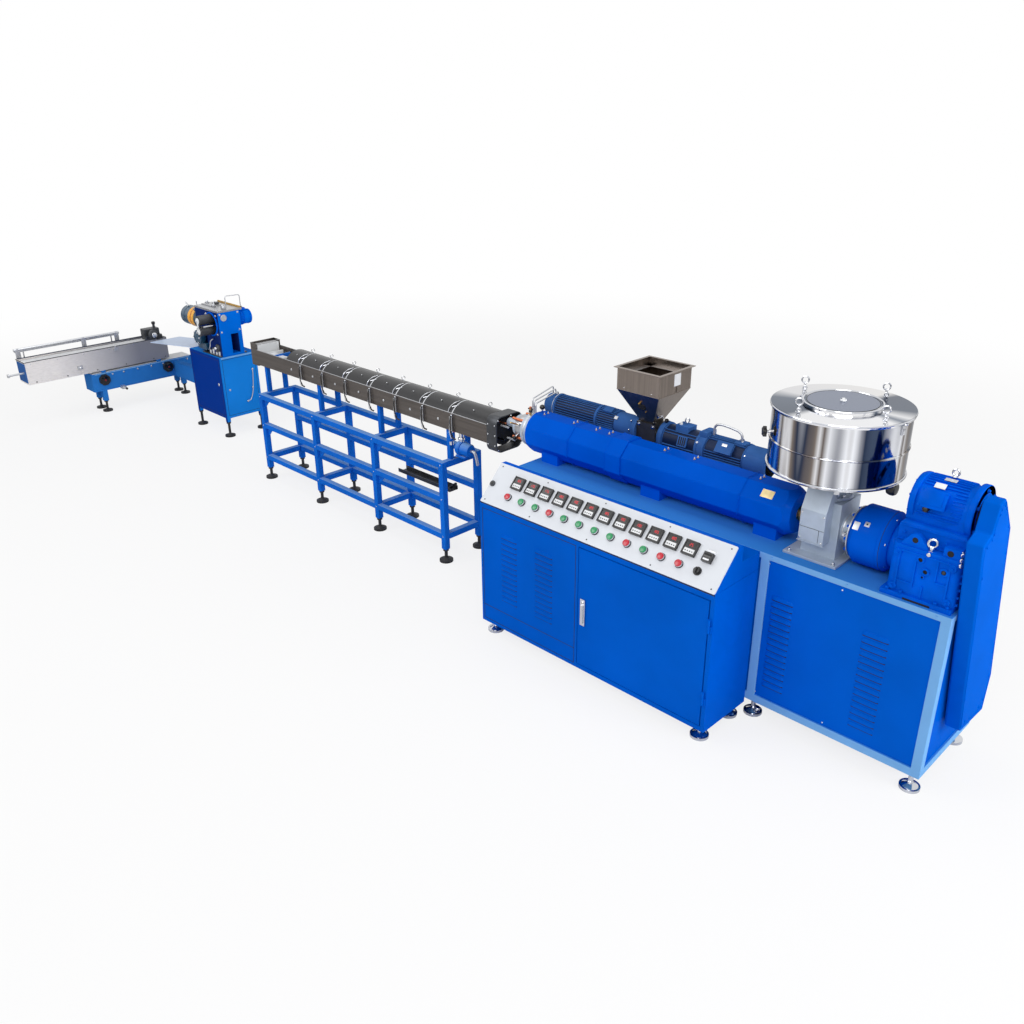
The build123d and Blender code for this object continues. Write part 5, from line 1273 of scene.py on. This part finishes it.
def cover_ends_trim():
    """Grey back strips, ring handles, gap fittings and the bright right end of the trough's covers."""
    form = Form()
    lean = Vector((0, 0.42, 1))
    for left, right in zip([COVERS_LEFT] + HOOPS, HOOPS + [COVERS_RIGHT]):
        middle = (left + right) / 2
        form.put(slab(right - left - 30, 58, 2.4, 0.8), brown_steel, middle, 640, 1036, lean, RIGHT)
        form.put(rod(5, 14, 1.5), chrome, middle, 632, 1042, lean)
        form.put(hoop(11, 2.4, 22), chrome, middle, 638, 1066, Vector((0.9, -0.45, 0)))
        form.put(rod(4, 4, 1, 12), chrome, middle, 500, 1059, Vector((0, -0.5, 1)))
        if right != COVERS_RIGHT:
            form.put(slab(30, 120, 12, 3), plate_grey, right + 18, TROUGH_Y, 1024)
            form.wire(chrome, ((right - 26, 486, 1044), (right + 20, 520, 1060), (right + 40, 560, 1068)), 3,
                      8)
            form.put(rod(9, 18, 2), white_plastic, right + 26, 500, 1030)
    form.put(slab(5, 150, 36, 1), brushed_steel, -1916, TROUGH_Y, 1018)
    form.turn(white_plastic, -1917, 500, 1028, RIGHT, ((0, 0), (24, 0), (27, 4), (27, 16), (18, 26), (0, 28)))
    form.put(rod(9, 34, 2), dark_steel, -1915, 560, 1042, RIGHT)
    # Open left part: sizing plates standing in the channel
    for x, material in ((-4400, white_plastic), (-4300, stand_paint), (-4190, white_plastic),
                        (-4110, plate_grey)):
        form.put(slab(10, 176, 84, 1.5), material, x, TROUGH_Y, 908)
    form.put(slab(300, 40, 30, 4), white_plastic, -4260, TROUGH_Y, 950)
    form.put(slab(60, 170, 6, 1), brushed_steel, -4498, TROUGH_Y, 1044)
    form.put(slab(6, 188, 128, 1), white_plastic, -4461, TROUGH_Y, 920)
    form.put(rod(9, 10, 2), plate_grey, -4530, TROUGH_Y, 1010, LEFT)
    # Folded rims along the channel's top edges
    for y in (460, 666):
        form.wire(brushed_steel, ((-4455, y, 1015), (-1915, y, 1015)), 2.6, 6)
    for x in (-4455, -4541):
        form.wire(brushed_steel, ((x + 2, 459, 1060), (x + 2, 667, 1060)), 2.2, 6)
    form.finish("trough_trim", "line", "brown_steel")


def pump_trim():
    """Blue circulation pump and valve hung under the trough, with a steel drain pipe."""
    form = Form()
    x, y = -2150, 500
    form.turn(stand_paint, x, y - 20, 800, RIGHT, ((0, 0), (34, 0), (40, 6), (40, 60), (34, 70), (0, 70)), 32)
    form.turn(stand_paint, x - 30, y - 20, 800, RIGHT,
              ((0, 0), (46, 0), (48, 5), (48, 24), (42, 30), (0, 30)), 32)
    form.put(rod(15, 60, 3), chrome, x - 14, y - 20, 840)
    form.put(hexagon(40, 16), chrome, x - 14, y - 20, 852)
    form.put(slab(80, 60, 12, 3), stand_paint, x, y - 20, 746)
    form.put(slab(26, 44, 60, 6), stand_paint, x - 92, y - 34, 830)
    form.put(rod(13, 96, 3), chrome, x - 92, y - 34, 806)
    form.put(slab(60, 9, 6, 2), red_plastic, x - 80, y - 34, 896)
    drain = ((x + 70, y - 20, 800), (x + 96, y - 18, 796), (x + 104, y - 10, 760), (x + 104, y, 712))
    form.wire(plate_grey, drain, 9, 12)
    form.finish("pump_trim", "line", "stand_blue")


def stand_trim():
    """Gussets, bolts and the gutter under the trough's frame."""
    form = Form()
    left_end, length, post = -4412, 2146, 40
    bay = (length - post) / 3
    gusset = outline([(0, 0), (64, 0), (0, 64)], 4, 0.8)
    for number in range(4):
        x = left_end + post / 2 + bay * number
        for y, axis in ((402, FRONT), (737, BACK)):
            for z in (672, 440, 178):
                form.put(rod(4, 2.5, 1, 12), chrome, x, y, z, axis)
        form.put(bolt(16), chrome, x, 422, 92)
    for z in (640, 408):
        for number in range(3):
            form.put(gusset, stand_paint, left_end + post + bay * number, 424, z, BACK, RIGHT)
    form.put(slab(520, 70, 3, 1), dark_steel, -2560, 520, 462)
    for y in (486, 554):
        form.put(slab(520, 3, 26, 1), dark_steel, -2560, y, 462)
    form.wire(black_plastic, ((-2330, 520, 476), (-2300, 520, 500), (-2270, 512, 520)), 10, 12)
    form.finish("stand_trim", "line", "stand_blue")


# Haul-off and cutter


CABINET_RIGHT, CABINET_FRONT = -5505, 680
HEAD_X, HEAD_FRONT = -5618, 720
HEAD_MOTOR_X, HEAD_MOTOR_Z = -5598, 1010


def puller_trim():
    """Motor bands and ribs, gearbox parts, roller hubs, clamps and yellow strip of the haul-off."""
    form = Form()
    y, z = 826, 968

    def motor(x, radius, angle):
        return round_x(x, y, z, radius, angle)

    for x in (-6100, -6042):
        form.turn(yellow_paint, x, y, z, RIGHT, ((84, 0), (88, 2), (88, 40), (84, 42)), 48)
    form.turn(copper, -6058, y, z, RIGHT, ((84, 0), (86, 1), (86, 15), (84, 16)), 48)
    fin = slab(92, 3.4, 9, 1)
    for number in range(36):
        form.stamp(fin, motor(-5950, 82, number * 10), teal_paint)
    form.turn(dark_steel, -5914, y, z, RIGHT, ((84, 0), (92, 2), (92, 10), (84, 12)), 48)
    form.stamp(lathe(((0, 0), (60, 0), (78, -8), (85, -22), (85, -60), (80, -60)), 40),
               at(-6230, y, z, RIGHT) @ Matrix.Diagonal((1, 1, -1, 1)), teal_paint)
    for radius in (16, 30, 44, 58):
        form.put(hoop(radius, 1.6, 32), gap_black, -6231, y, z, LEFT)
    form.stamp(slab(84, 62, 30, 5), motor(-5956, 80, 66), teal_paint)
    form.stamp(slab(90, 68, 5, 2), motor(-5956, 110, 66), teal_paint)
    form.wire(plate_grey,
              ((-6150, y - 40, z + 92), (-6176, y - 46, z + 120), (-6200, y - 30, z + 110),
               (-6206, y - 10, z + 84)), 5, 10)
    form.put(hoop(11, 3.4, 22), chrome, -5950, y, z + 101, FRONT)
    # Gearbox parts hung below the head's left
    form.turn(teal_paint, -5824, 718, 850, FRONT, ((0, 0), (56, 0), (62, 5), (62, 46), (50, 56), (0, 58)), 32)
    form.put(slab(150, 40, 60, 8), teal_paint, -5816, 720, 740)
    for number in range(6):
        turn = math.radians(60 * number)
        form.put(bolt(12), chrome, -5824 + 50 * math.cos(turn), 664, 850 + 50 * math.sin(turn), FRONT)
    # Head front: a dark plate of painted shade in the cavity, roller hubs, guide bar and gauge
    form.put(slab(118, 184, 3, 1), gap_black, HEAD_X, 788, 990, FRONT, RIGHT)
    form.turn(deep_paint, HEAD_X, HEAD_FRONT, 990, FRONT,
              ((92, 0), (100, 0), (102, 3), (102, 9), (99, 12), (92, 12)), 48)
    for z_roller in (944, 1036):
        form.turn(white_plastic, HEAD_X, 592, z_roller, FRONT,
                  ((0, 0), (24, 0), (26, 2), (26, 6), (12, 9), (12, 14), (0, 15)), 32)
        form.put(hexagon(16, 7), chrome, HEAD_X, 578, z_roller, FRONT)
        form.put(rod(7, 60), dark_steel, HEAD_X, 780, z_roller, FRONT)
    form.put(slab(15, 92, 8, 3), white_plastic, HEAD_X, 591, 990, FRONT, RIGHT)
    form.put(rod(7, 120), chrome, -5560, 720, 990, FRONT)
    form.turn(black_gloss, -5560, 604, 990, FRONT, ((0, 0), (9, 1), (11, 5), (11, 12), (6, 16), (0, 16)), 20)
    for x, height in ((-5700, 1068), (-5536, 1068), (-5700, 912), (-5536, 912)):
        form.put(bolt(14), chrome, x, 720, height, FRONT)
    form.turn(plate_grey, CABINET_RIGHT, 770, 1050, RIGHT,
              ((0, 0), (26, 0), (28, 3), (28, 9), (24, 11), (24, 7), (0, 7)), 32)
    form.put(rod(3, 5, 1), dark_steel, CABINET_RIGHT, 770, 1050, RIGHT)
    for yy, zz in ((740, 1080), (910, 1080), (740, 930), (910, 930)):
        form.put(bolt(12), chrome, CABINET_RIGHT, yy, zz, RIGHT)
    # Dark works in the column's opening
    form.put(rod(28, 150, 4), dark_steel, -5600, 800, 740)
    form.put(slab(90, 70, 60, 4), dark_steel, -5570, 790, 734)
    form.put(rod(12, 120, 3), chrome, -5640, 790, 800, RIGHT)
    form.put(slab(300, 262, 10, 3), dark_steel, -5664, 828, 715)
    for x, height in ((-5700, 30), (-5650, 46), (-5596, 26), (-5548, 38)):
        form.put(rod(13, height, 3), chrome, x, 720, 725)
        form.put(hexagon(22, 10), dark_steel, x, 720, 725 + height)
    form.turn(dark_steel, -5560, 748, 790, FRONT, ((0, 0), (30, 0), (33, 3), (33, 40), (26, 46), (0, 46)), 32)
    form.turn(chrome, -5560, 702, 790, FRONT, ((0, 0), (14, 0), (14, 16), (10, 20), (0, 20)), 24)
    form.wire(plate_grey, ((-5700, 700, 756), (-5660, 694, 790), (-5640, 694, 840), (-5600, 700, 866)), 4.5,
              10)
    # Top plate: clamps, studs and the yellow strip along its back
    form.put(slab(380, 12, 12, 3), ochre_paint, -5703, 946, 1113)
    for x in (-5870, -5800, -5700, -5600, -5535):
        form.put(slab(40, 26, 14, 3), brushed_steel, x, 800 + (x % 3) * 30, 1113)
        form.put(bolt(18), chrome, x, 800 + (x % 3) * 30, 1127)
    form.put(slab(170, 96, 8, 2), brushed_steel, -5800, 830, 1113)
    form.put(rod(22, 16, 3), dark_steel, -5760, 860, 1120)
    for x in (-5880, -5526):
        form.put(rod(4, 36, 1), chrome, x, 735, 1113)
    # Head motor: flange, fan cover and knob
    form.turn(deep_paint, HEAD_MOTOR_X, 932, HEAD_MOTOR_Z, BACK,
              ((62, 0), (80, 0), (82, 3), (82, 13), (79, 16), (62, 16)), 40)
    for y in (990, 1046):
        form.put(hoop(63, 2.4, 40), deep_paint, HEAD_MOTOR_X, y, HEAD_MOTOR_Z, BACK)
    for radius in (14, 28, 42):
        form.put(hoop(radius, 1.4, 32), gap_black, HEAD_MOTOR_X, 1064, HEAD_MOTOR_Z, BACK)
    for number in range(26):
        angle = 2 * math.pi * number / 26
        out = Vector((math.cos(angle), 0, math.sin(angle)))
        form.stamp(slab(3, 52, 6, 1),
                   aim(place(HEAD_MOTOR_X, 965, HEAD_MOTOR_Z) + out * 0.061, out, BACK.cross(out)),
                   deep_paint)
    form.put(slab(54, 46, 22, 4), deep_paint, HEAD_MOTOR_X, 1000, 1070)
    form.put(rod(8, 14, 3), dark_steel, HEAD_MOTOR_X, 1000, 1092)
    form.finish("puller_trim", "line", "deep_blue")


def puller_cabinet_trim():
    """Seams, lock, thin pipe and fittings of the haul-off's cabinet."""
    form = Form()
    form.seams((-6012, CABINET_FRONT, 190), (-5528, CABINET_FRONT, 690), FRONT, RIGHT)
    form.put(rod(12, 8, 2), chrome, -5560, CABINET_FRONT, 470, FRONT)
    form.seams((CABINET_RIGHT, 704, 190), (CABINET_RIGHT, 1018, 690), RIGHT, BACK)
    form.put(rod(8, 12, 2), plate_grey, CABINET_RIGHT, 980, 560, RIGHT)
    form.put(rod(8, 12, 2), plate_grey, CABINET_RIGHT, 740, 420, RIGHT)
    form.wire(plate_grey,
              ((-5497, 980, 560), (-5492, 976, 520), (-5492, 960, 380), (-5492, 930, 300), (-5498, 900, 286)),
              4, 10)
    for y, z in ((980, 566), (900, 286), (962, 400)):
        form.put(hexagon(18, 14), chrome, CABINET_RIGHT, y, z, RIGHT)
    form.put(slab(330, 14, 3, 1), pale_paint, CABINET_RIGHT, 861, 706, RIGHT, BACK)
    form.finish("puller_cabinet_trim", "line", "stand_blue")


# Collecting unit


BEAM_RIGHT = -7034
PULLEY_RIGHT = -7010
COLLECTING_RIGHT = -7040


def conveyor_trim():
    """Pulley hubs, belt, bolts, hand lever and side plates of the collecting conveyor."""
    form = Form()
    for y, z in ((262, 312), (905, 312)):
        form.turn(black_gloss, PULLEY_RIGHT, y, z, RIGHT,
                  ((0, 0), (34, 0), (36, 2), (36, 5), (24, 8), (0, 8)), 36)
        form.turn(dark_red, -7003, y, z, RIGHT, ((0, 0), (9, 0), (10, 2), (8, 6), (0, 7)), 24)
    for y in (350, 460, 600, 740, 860, 1020, 1120):
        form.put(bolt(12), chrome, BEAM_RIGHT, y, 350, RIGHT)
    form.put(slab(960, 10, 3, 1), pale_paint, BEAM_RIGHT, 660, 372, RIGHT, BACK)
    form.put(slab(960, 10, 3, 1), conveyor_paint, BEAM_RIGHT, 660, 212, RIGHT, BACK)
    form.put(slab(176, 1000, 3, 1), white_belt, -7128, 660, 378)
    form.put(slab(60, 40, 30, 4), plate_grey, PULLEY_RIGHT, 420, 196)
    form.put(rod(6, 60, 1), chrome, -7000, 420, 210, RIGHT)
    form.turn(black_gloss, -6942, 420, 210, RIGHT, ((0, 0), (8, 1), (11, 6), (11, 13), (7, 18), (0, 19)))
    # Drive and clutch by the trough's far end
    form.put(slab(96, 150, 104, 8), dark_steel, -7084, 806, 604)
    form.put(slab(40, 60, 46, 4), black_plastic, -7020, 856, 604)
    for step in range(5):
        form.put(slab(100, 4, 84, 1), black_plastic, -7084, 752 + 26 * step, 612)
    form.turn(dark_steel, BEAM_RIGHT, 800, 655, RIGHT,
              ((0, 0), (44, 0), (48, 4), (48, 30), (40, 36), (0, 36)), 32)
    form.turn(chrome, -6998, 800, 655, RIGHT, ((0, 0), (24, 0), (24, 20), (18, 24), (0, 24)), 28)
    form.put(slab(26, 70, 40, 4), plate_grey, -7090, 870, 604)
    form.put(rod(12, 60, 3), dark_steel, -7080, 850, 690)
    form.turn(black_plastic, -7080, 850, 742, UP, ((0, 0), (16, 0), (18, 4), (18, 18), (12, 24), (0, 24)))
    form.finish("conveyor_trim", "line", "stand_blue")


def collecting_trim():
    """Folded rims, end plate, sloping inner plate, bolts and brackets of the collecting trough."""
    form = Form()
    for x in (-7251, -7041):
        form.wire(dark_steel, ((x, -408, 604), (x, 938, 604)), 3, 6)
    form.put(slab(214, 8, 5, 1.5), black_plastic, -7146, -410, 600, FRONT, RIGHT)
    form.put(slab(196, 176, 3, 1), slate_paint, -7146, -410, 500, FRONT, RIGHT)
    slope = Vector((0.28, 0, 1)).normalized()
    form.stamp(slab(1300, 196, 2.4, 0.6), aim(place(-7146, 262, 556), slope, BACK), white_plastic)
    for x in (-7246, -7046):
        form.put(slab(1330, 12, 4, 1), slate_gap, x, 264, 602, UP, BACK)
    for y in (-360, -120, 120, 360, 600, 840):
        form.put(rod(4.5, 3, 1, 14), chrome, COLLECTING_RIGHT, y, 586, RIGHT)
    for y in (-340, -60, 220, 500, 780, 900):
        form.put(rod(5.5, 4, 1, 14), dark_steel, COLLECTING_RIGHT, y, 416, RIGHT)
    form.put(slab(46, 34, 14, 3), plate_grey, COLLECTING_RIGHT, 60, 470, RIGHT, BACK)
    form.turn(chrome, -7026, 60, 470, RIGHT, ((0, 0), (9, 1), (12, 6), (12, 13), (7, 18), (0, 19)), 20)
    form.put(slab(40, 26, 16, 3), plate_grey, COLLECTING_RIGHT, 420, 578, RIGHT, BACK)
    form.put(rod(7, 20, 2), chrome, -7032, 420, 592)
    for y in (-380, 220, 540):
        form.put(slab(44, 78, 4, 1), plate_grey, -7256, y, 636, RIGHT, BACK)
        form.put(slab(16, 22, 60, 3), plate_grey, -7262, y, 632)
        form.put(rod(4, 6, 1, 12), chrome, -7262, y, 688)
    form.wire(chrome, ((-7266, -404, 660), (-7266, 566, 660)), 5, 10)
    form.finish("collecting_trim", "line", "brushed")


# Machine base

def back_trim():
    """Bolted back sheets with slits and pulls on the base, and seams and bolts behind the far units."""
    form = Form()
    slit = slab(120, 5, 0.8, 0)
    back = (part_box("base_panels")[1].y - DATUM.y) * 1000
    for left, right in ((-1470, -360), (-320, 20), (66, 790)):
        middle = (left + right) / 2
        form.seams((left, back, 140), (right, back, 840), BACK, RIGHT)
        for x in (left + 20, middle, right - 20):
            for z in (158, 822):
                form.put(rod(4.5, 2.6, 0.8, 14), chrome, x, back, z, BACK)
        for number in range(9):
            form.put(slit, gap_black, middle, back, 300 + 26 * number, BACK, RIGHT)
        for x in (middle - 60, middle + 60):
            form.put(rod(7, 26, 2), chrome, x, back, 700, BACK)
        form.wire(chrome, ((middle - 60, back + 26, 700), (middle + 60, back + 26, 700)), 6, 10)
    form.seams((-6012, 1042, 190), (-5528, 1042, 690), BACK, RIGHT)
    for number in range(8):
        form.put(slit, gap_black, -5770, 1042, 320 + 26 * number, BACK, RIGHT)
    for y in (704, 1018):
        form.put(slab(SEAM, 500, 0.8, 0), gap_black, -6035, y, 440, LEFT, BACK)
    for y in (200, 380, 560, 740, 920, 1100):
        form.put(bolt(12), chrome, -7252, y, 350, LEFT)
    form.finish("back_trim", "line", "cabinet_blue")


def base_trim():
    """Screws and foot bolts of the machine base."""
    form = Form()
    for x in (-1440, -1000, -560, -120, 60, 420, 800):
        form.put(rod(5, 3, 1, 16), pale_paint, x, 346, 876, FRONT)
    for x in (48, 400, 820):
        for z in (150, 840):
            form.put(rod(4, 2, 0.8, 14), chrome, x, 354, z, FRONT)
    for y in (392, 854):
        for z in (150, 840):
            form.put(rod(4, 2, 0.8, 14), chrome, 852, y, z, RIGHT)
    for x, y in ((814, 392), (814, 854), (52, 392), (-1494, 392), (-1494, 854), (52, 854)):
        form.put(hexagon(26, 12), chrome, x, y, 66)
        form.put(hexagon(26, 12), chrome, x, y, 26)
    form.finish("base_trim", "line", "pale_blue")


for build in (
    cover_trim, collar_trim, throat_trim, drum_trim, gearbox_trim, drive_trim, guard_trim, tank_trim,
    eyebolts, side_barrel_trim, side_motor_trim, hopper_trim, die_trim, hoop_trim, cover_ends_trim,
    pump_trim, stand_trim, puller_trim, puller_cabinet_trim, conveyor_trim, collecting_trim, back_trim,
    base_trim,
):
    build()

# Camera at the photograph's place

CAMERA_FROM_DATUM = Vector((1.912, -3.129, 2.809))
CAMERA_YAW = math.radians(45.27)
CAMERA_PITCH = math.radians(24.22)
CAMERA_ROLL = math.radians(-0.61)
CAMERA_LENS = 33.05
CAMERA_SENSOR = 36
CAMERA_REACH = 200

ahead = Vector((
    -math.sin(CAMERA_YAW) * math.cos(CAMERA_PITCH),
    math.cos(CAMERA_YAW) * math.cos(CAMERA_PITCH),
    -math.sin(CAMERA_PITCH),
))
level = Vector((math.cos(CAMERA_YAW), math.sin(CAMERA_YAW), 0))
upright = level.cross(ahead)
side = math.cos(CAMERA_ROLL) * level + math.sin(CAMERA_ROLL) * upright
upward = -math.sin(CAMERA_ROLL) * level + math.cos(CAMERA_ROLL) * upright
lens = bpy.data.cameras.new("camera")
lens.lens = CAMERA_LENS
lens.sensor_width = CAMERA_SENSOR
lens.clip_end = CAMERA_REACH
camera = bpy.data.objects.new("camera", lens)
turned_to = Matrix((side, upward, -ahead)).transposed().to_4x4()
camera.matrix_world = Matrix.Translation(DATUM + CAMERA_FROM_DATUM) @ turned_to
scene.collection.objects.link(camera)
scene.camera = camera

# Floor, world and lights


WHITE = (1, 1, 1, 1)
FLOOR_GREY = (0.82, 0.82, 0.83, 1)
FLOOR_HALF = 60
FADE_START, FADE_END = 3.5, 9.0
FLOOR_GLOW = 0.80
WORLD_LIGHT = 0.32


def stage_floor():
    """Large pale floor that shows the shadow and fades into the white surround."""
    mesh = bmesh.new()
    bmesh.ops.create_grid(mesh, x_segments=1, y_segments=1, size=FLOOR_HALF)
    data = bpy.data.meshes.new("floor")
    mesh.to_mesh(data)
    mesh.free()
    floor = bpy.data.objects.new("floor", data)
    scene.collection.objects.link(floor)
    material = bpy.data.materials.new("floor")
    material.use_nodes = True
    tree = material.node_tree
    shader = tree.nodes["Principled BSDF"]
    shader.inputs["Base Color"].default_value = FLOOR_GREY
    shader.inputs["Roughness"].default_value = 0.9
    shader.inputs["Specular IOR Level"].default_value = 0.1
    light = add_node(tree, "ShaderNodeEmission", {"Color": WHITE})
    seen = add_node(tree, "ShaderNodeLightPath").outputs["Is Camera Ray"]
    spot = add_node(tree, "ShaderNodeTexCoord").outputs["Object"]
    reach = add_node(tree, "ShaderNodeVectorMath", {0: spot}, operation="LENGTH").outputs["Value"]
    fade = add_node(tree, "ShaderNodeMapRange", {
        "Value": reach, "From Min": FADE_START, "From Max": FADE_END, "To Min": FLOOR_GLOW, "To Max": 1.0,
    }, interpolation_type="SMOOTHSTEP").outputs["Result"]
    share = add_node(tree, "ShaderNodeMath", {0: seen, 1: fade}, operation="MULTIPLY").outputs["Value"]
    mix = add_node(tree, "ShaderNodeMixShader", {
        "Fac": share, 1: shader.outputs["BSDF"], 2: light.outputs["Emission"],
    })
    tree.links.new(mix.outputs["Shader"], tree.nodes["Material Output"].inputs["Surface"])
    data.materials.append(material)


def studio_world():
    """White to the eye and in reflections, softer as a light."""
    world = bpy.data.worlds.new("studio")
    world.use_nodes = True
    tree = world.node_tree
    rays = add_node(tree, "ShaderNodeLightPath").outputs
    shown = rays["Is Camera Ray"]
    for kind in ("Is Transmission Ray", "Is Glossy Ray"):
        either = add_node(tree, "ShaderNodeMath", {0: shown, 1: rays[kind]}, operation="MAXIMUM")
        shown = either.outputs["Value"]
    strength = add_node(tree, "ShaderNodeMapRange", {"Value": shown, "To Min": WORLD_LIGHT, "To Max": 1.0})
    background = tree.nodes["Background"]
    background.inputs["Color"].default_value = WHITE
    tree.links.new(strength.outputs["Result"], background.inputs["Strength"])
    scene.world = world


def soft_lamp(name, point, target, size, power, shine=True):
    """Rectangular soft lamp aimed at a point, with or without its own highlight."""
    data = bpy.data.lights.new(name, "AREA")
    data.shape = "RECTANGLE"
    data.size, data.size_y = size
    data.energy = power
    lamp = bpy.data.objects.new(name, data)
    lamp.location = point
    lamp.rotation_euler = (Vector(target) - Vector(point)).to_track_quat("-Z", "Y").to_euler()
    lamp.visible_glossy = shine
    scene.collection.objects.link(lamp)


stage_floor()
studio_world()
soft_lamp("key", place(3500, -5500, 6500), place(-800, 300, 700), (6, 4), 300)
soft_lamp("right", place(6500, 1500, 3500), place(0, 500, 800), (4, 4), 330, shine=False)
soft_lamp("far", place(-5500, -5500, 6000), place(-5000, 300, 600), (6, 4), 240)
soft_lamp("top", place(-2500, 600, 7000), place(-2500, 600, 0), (10, 3), 120)
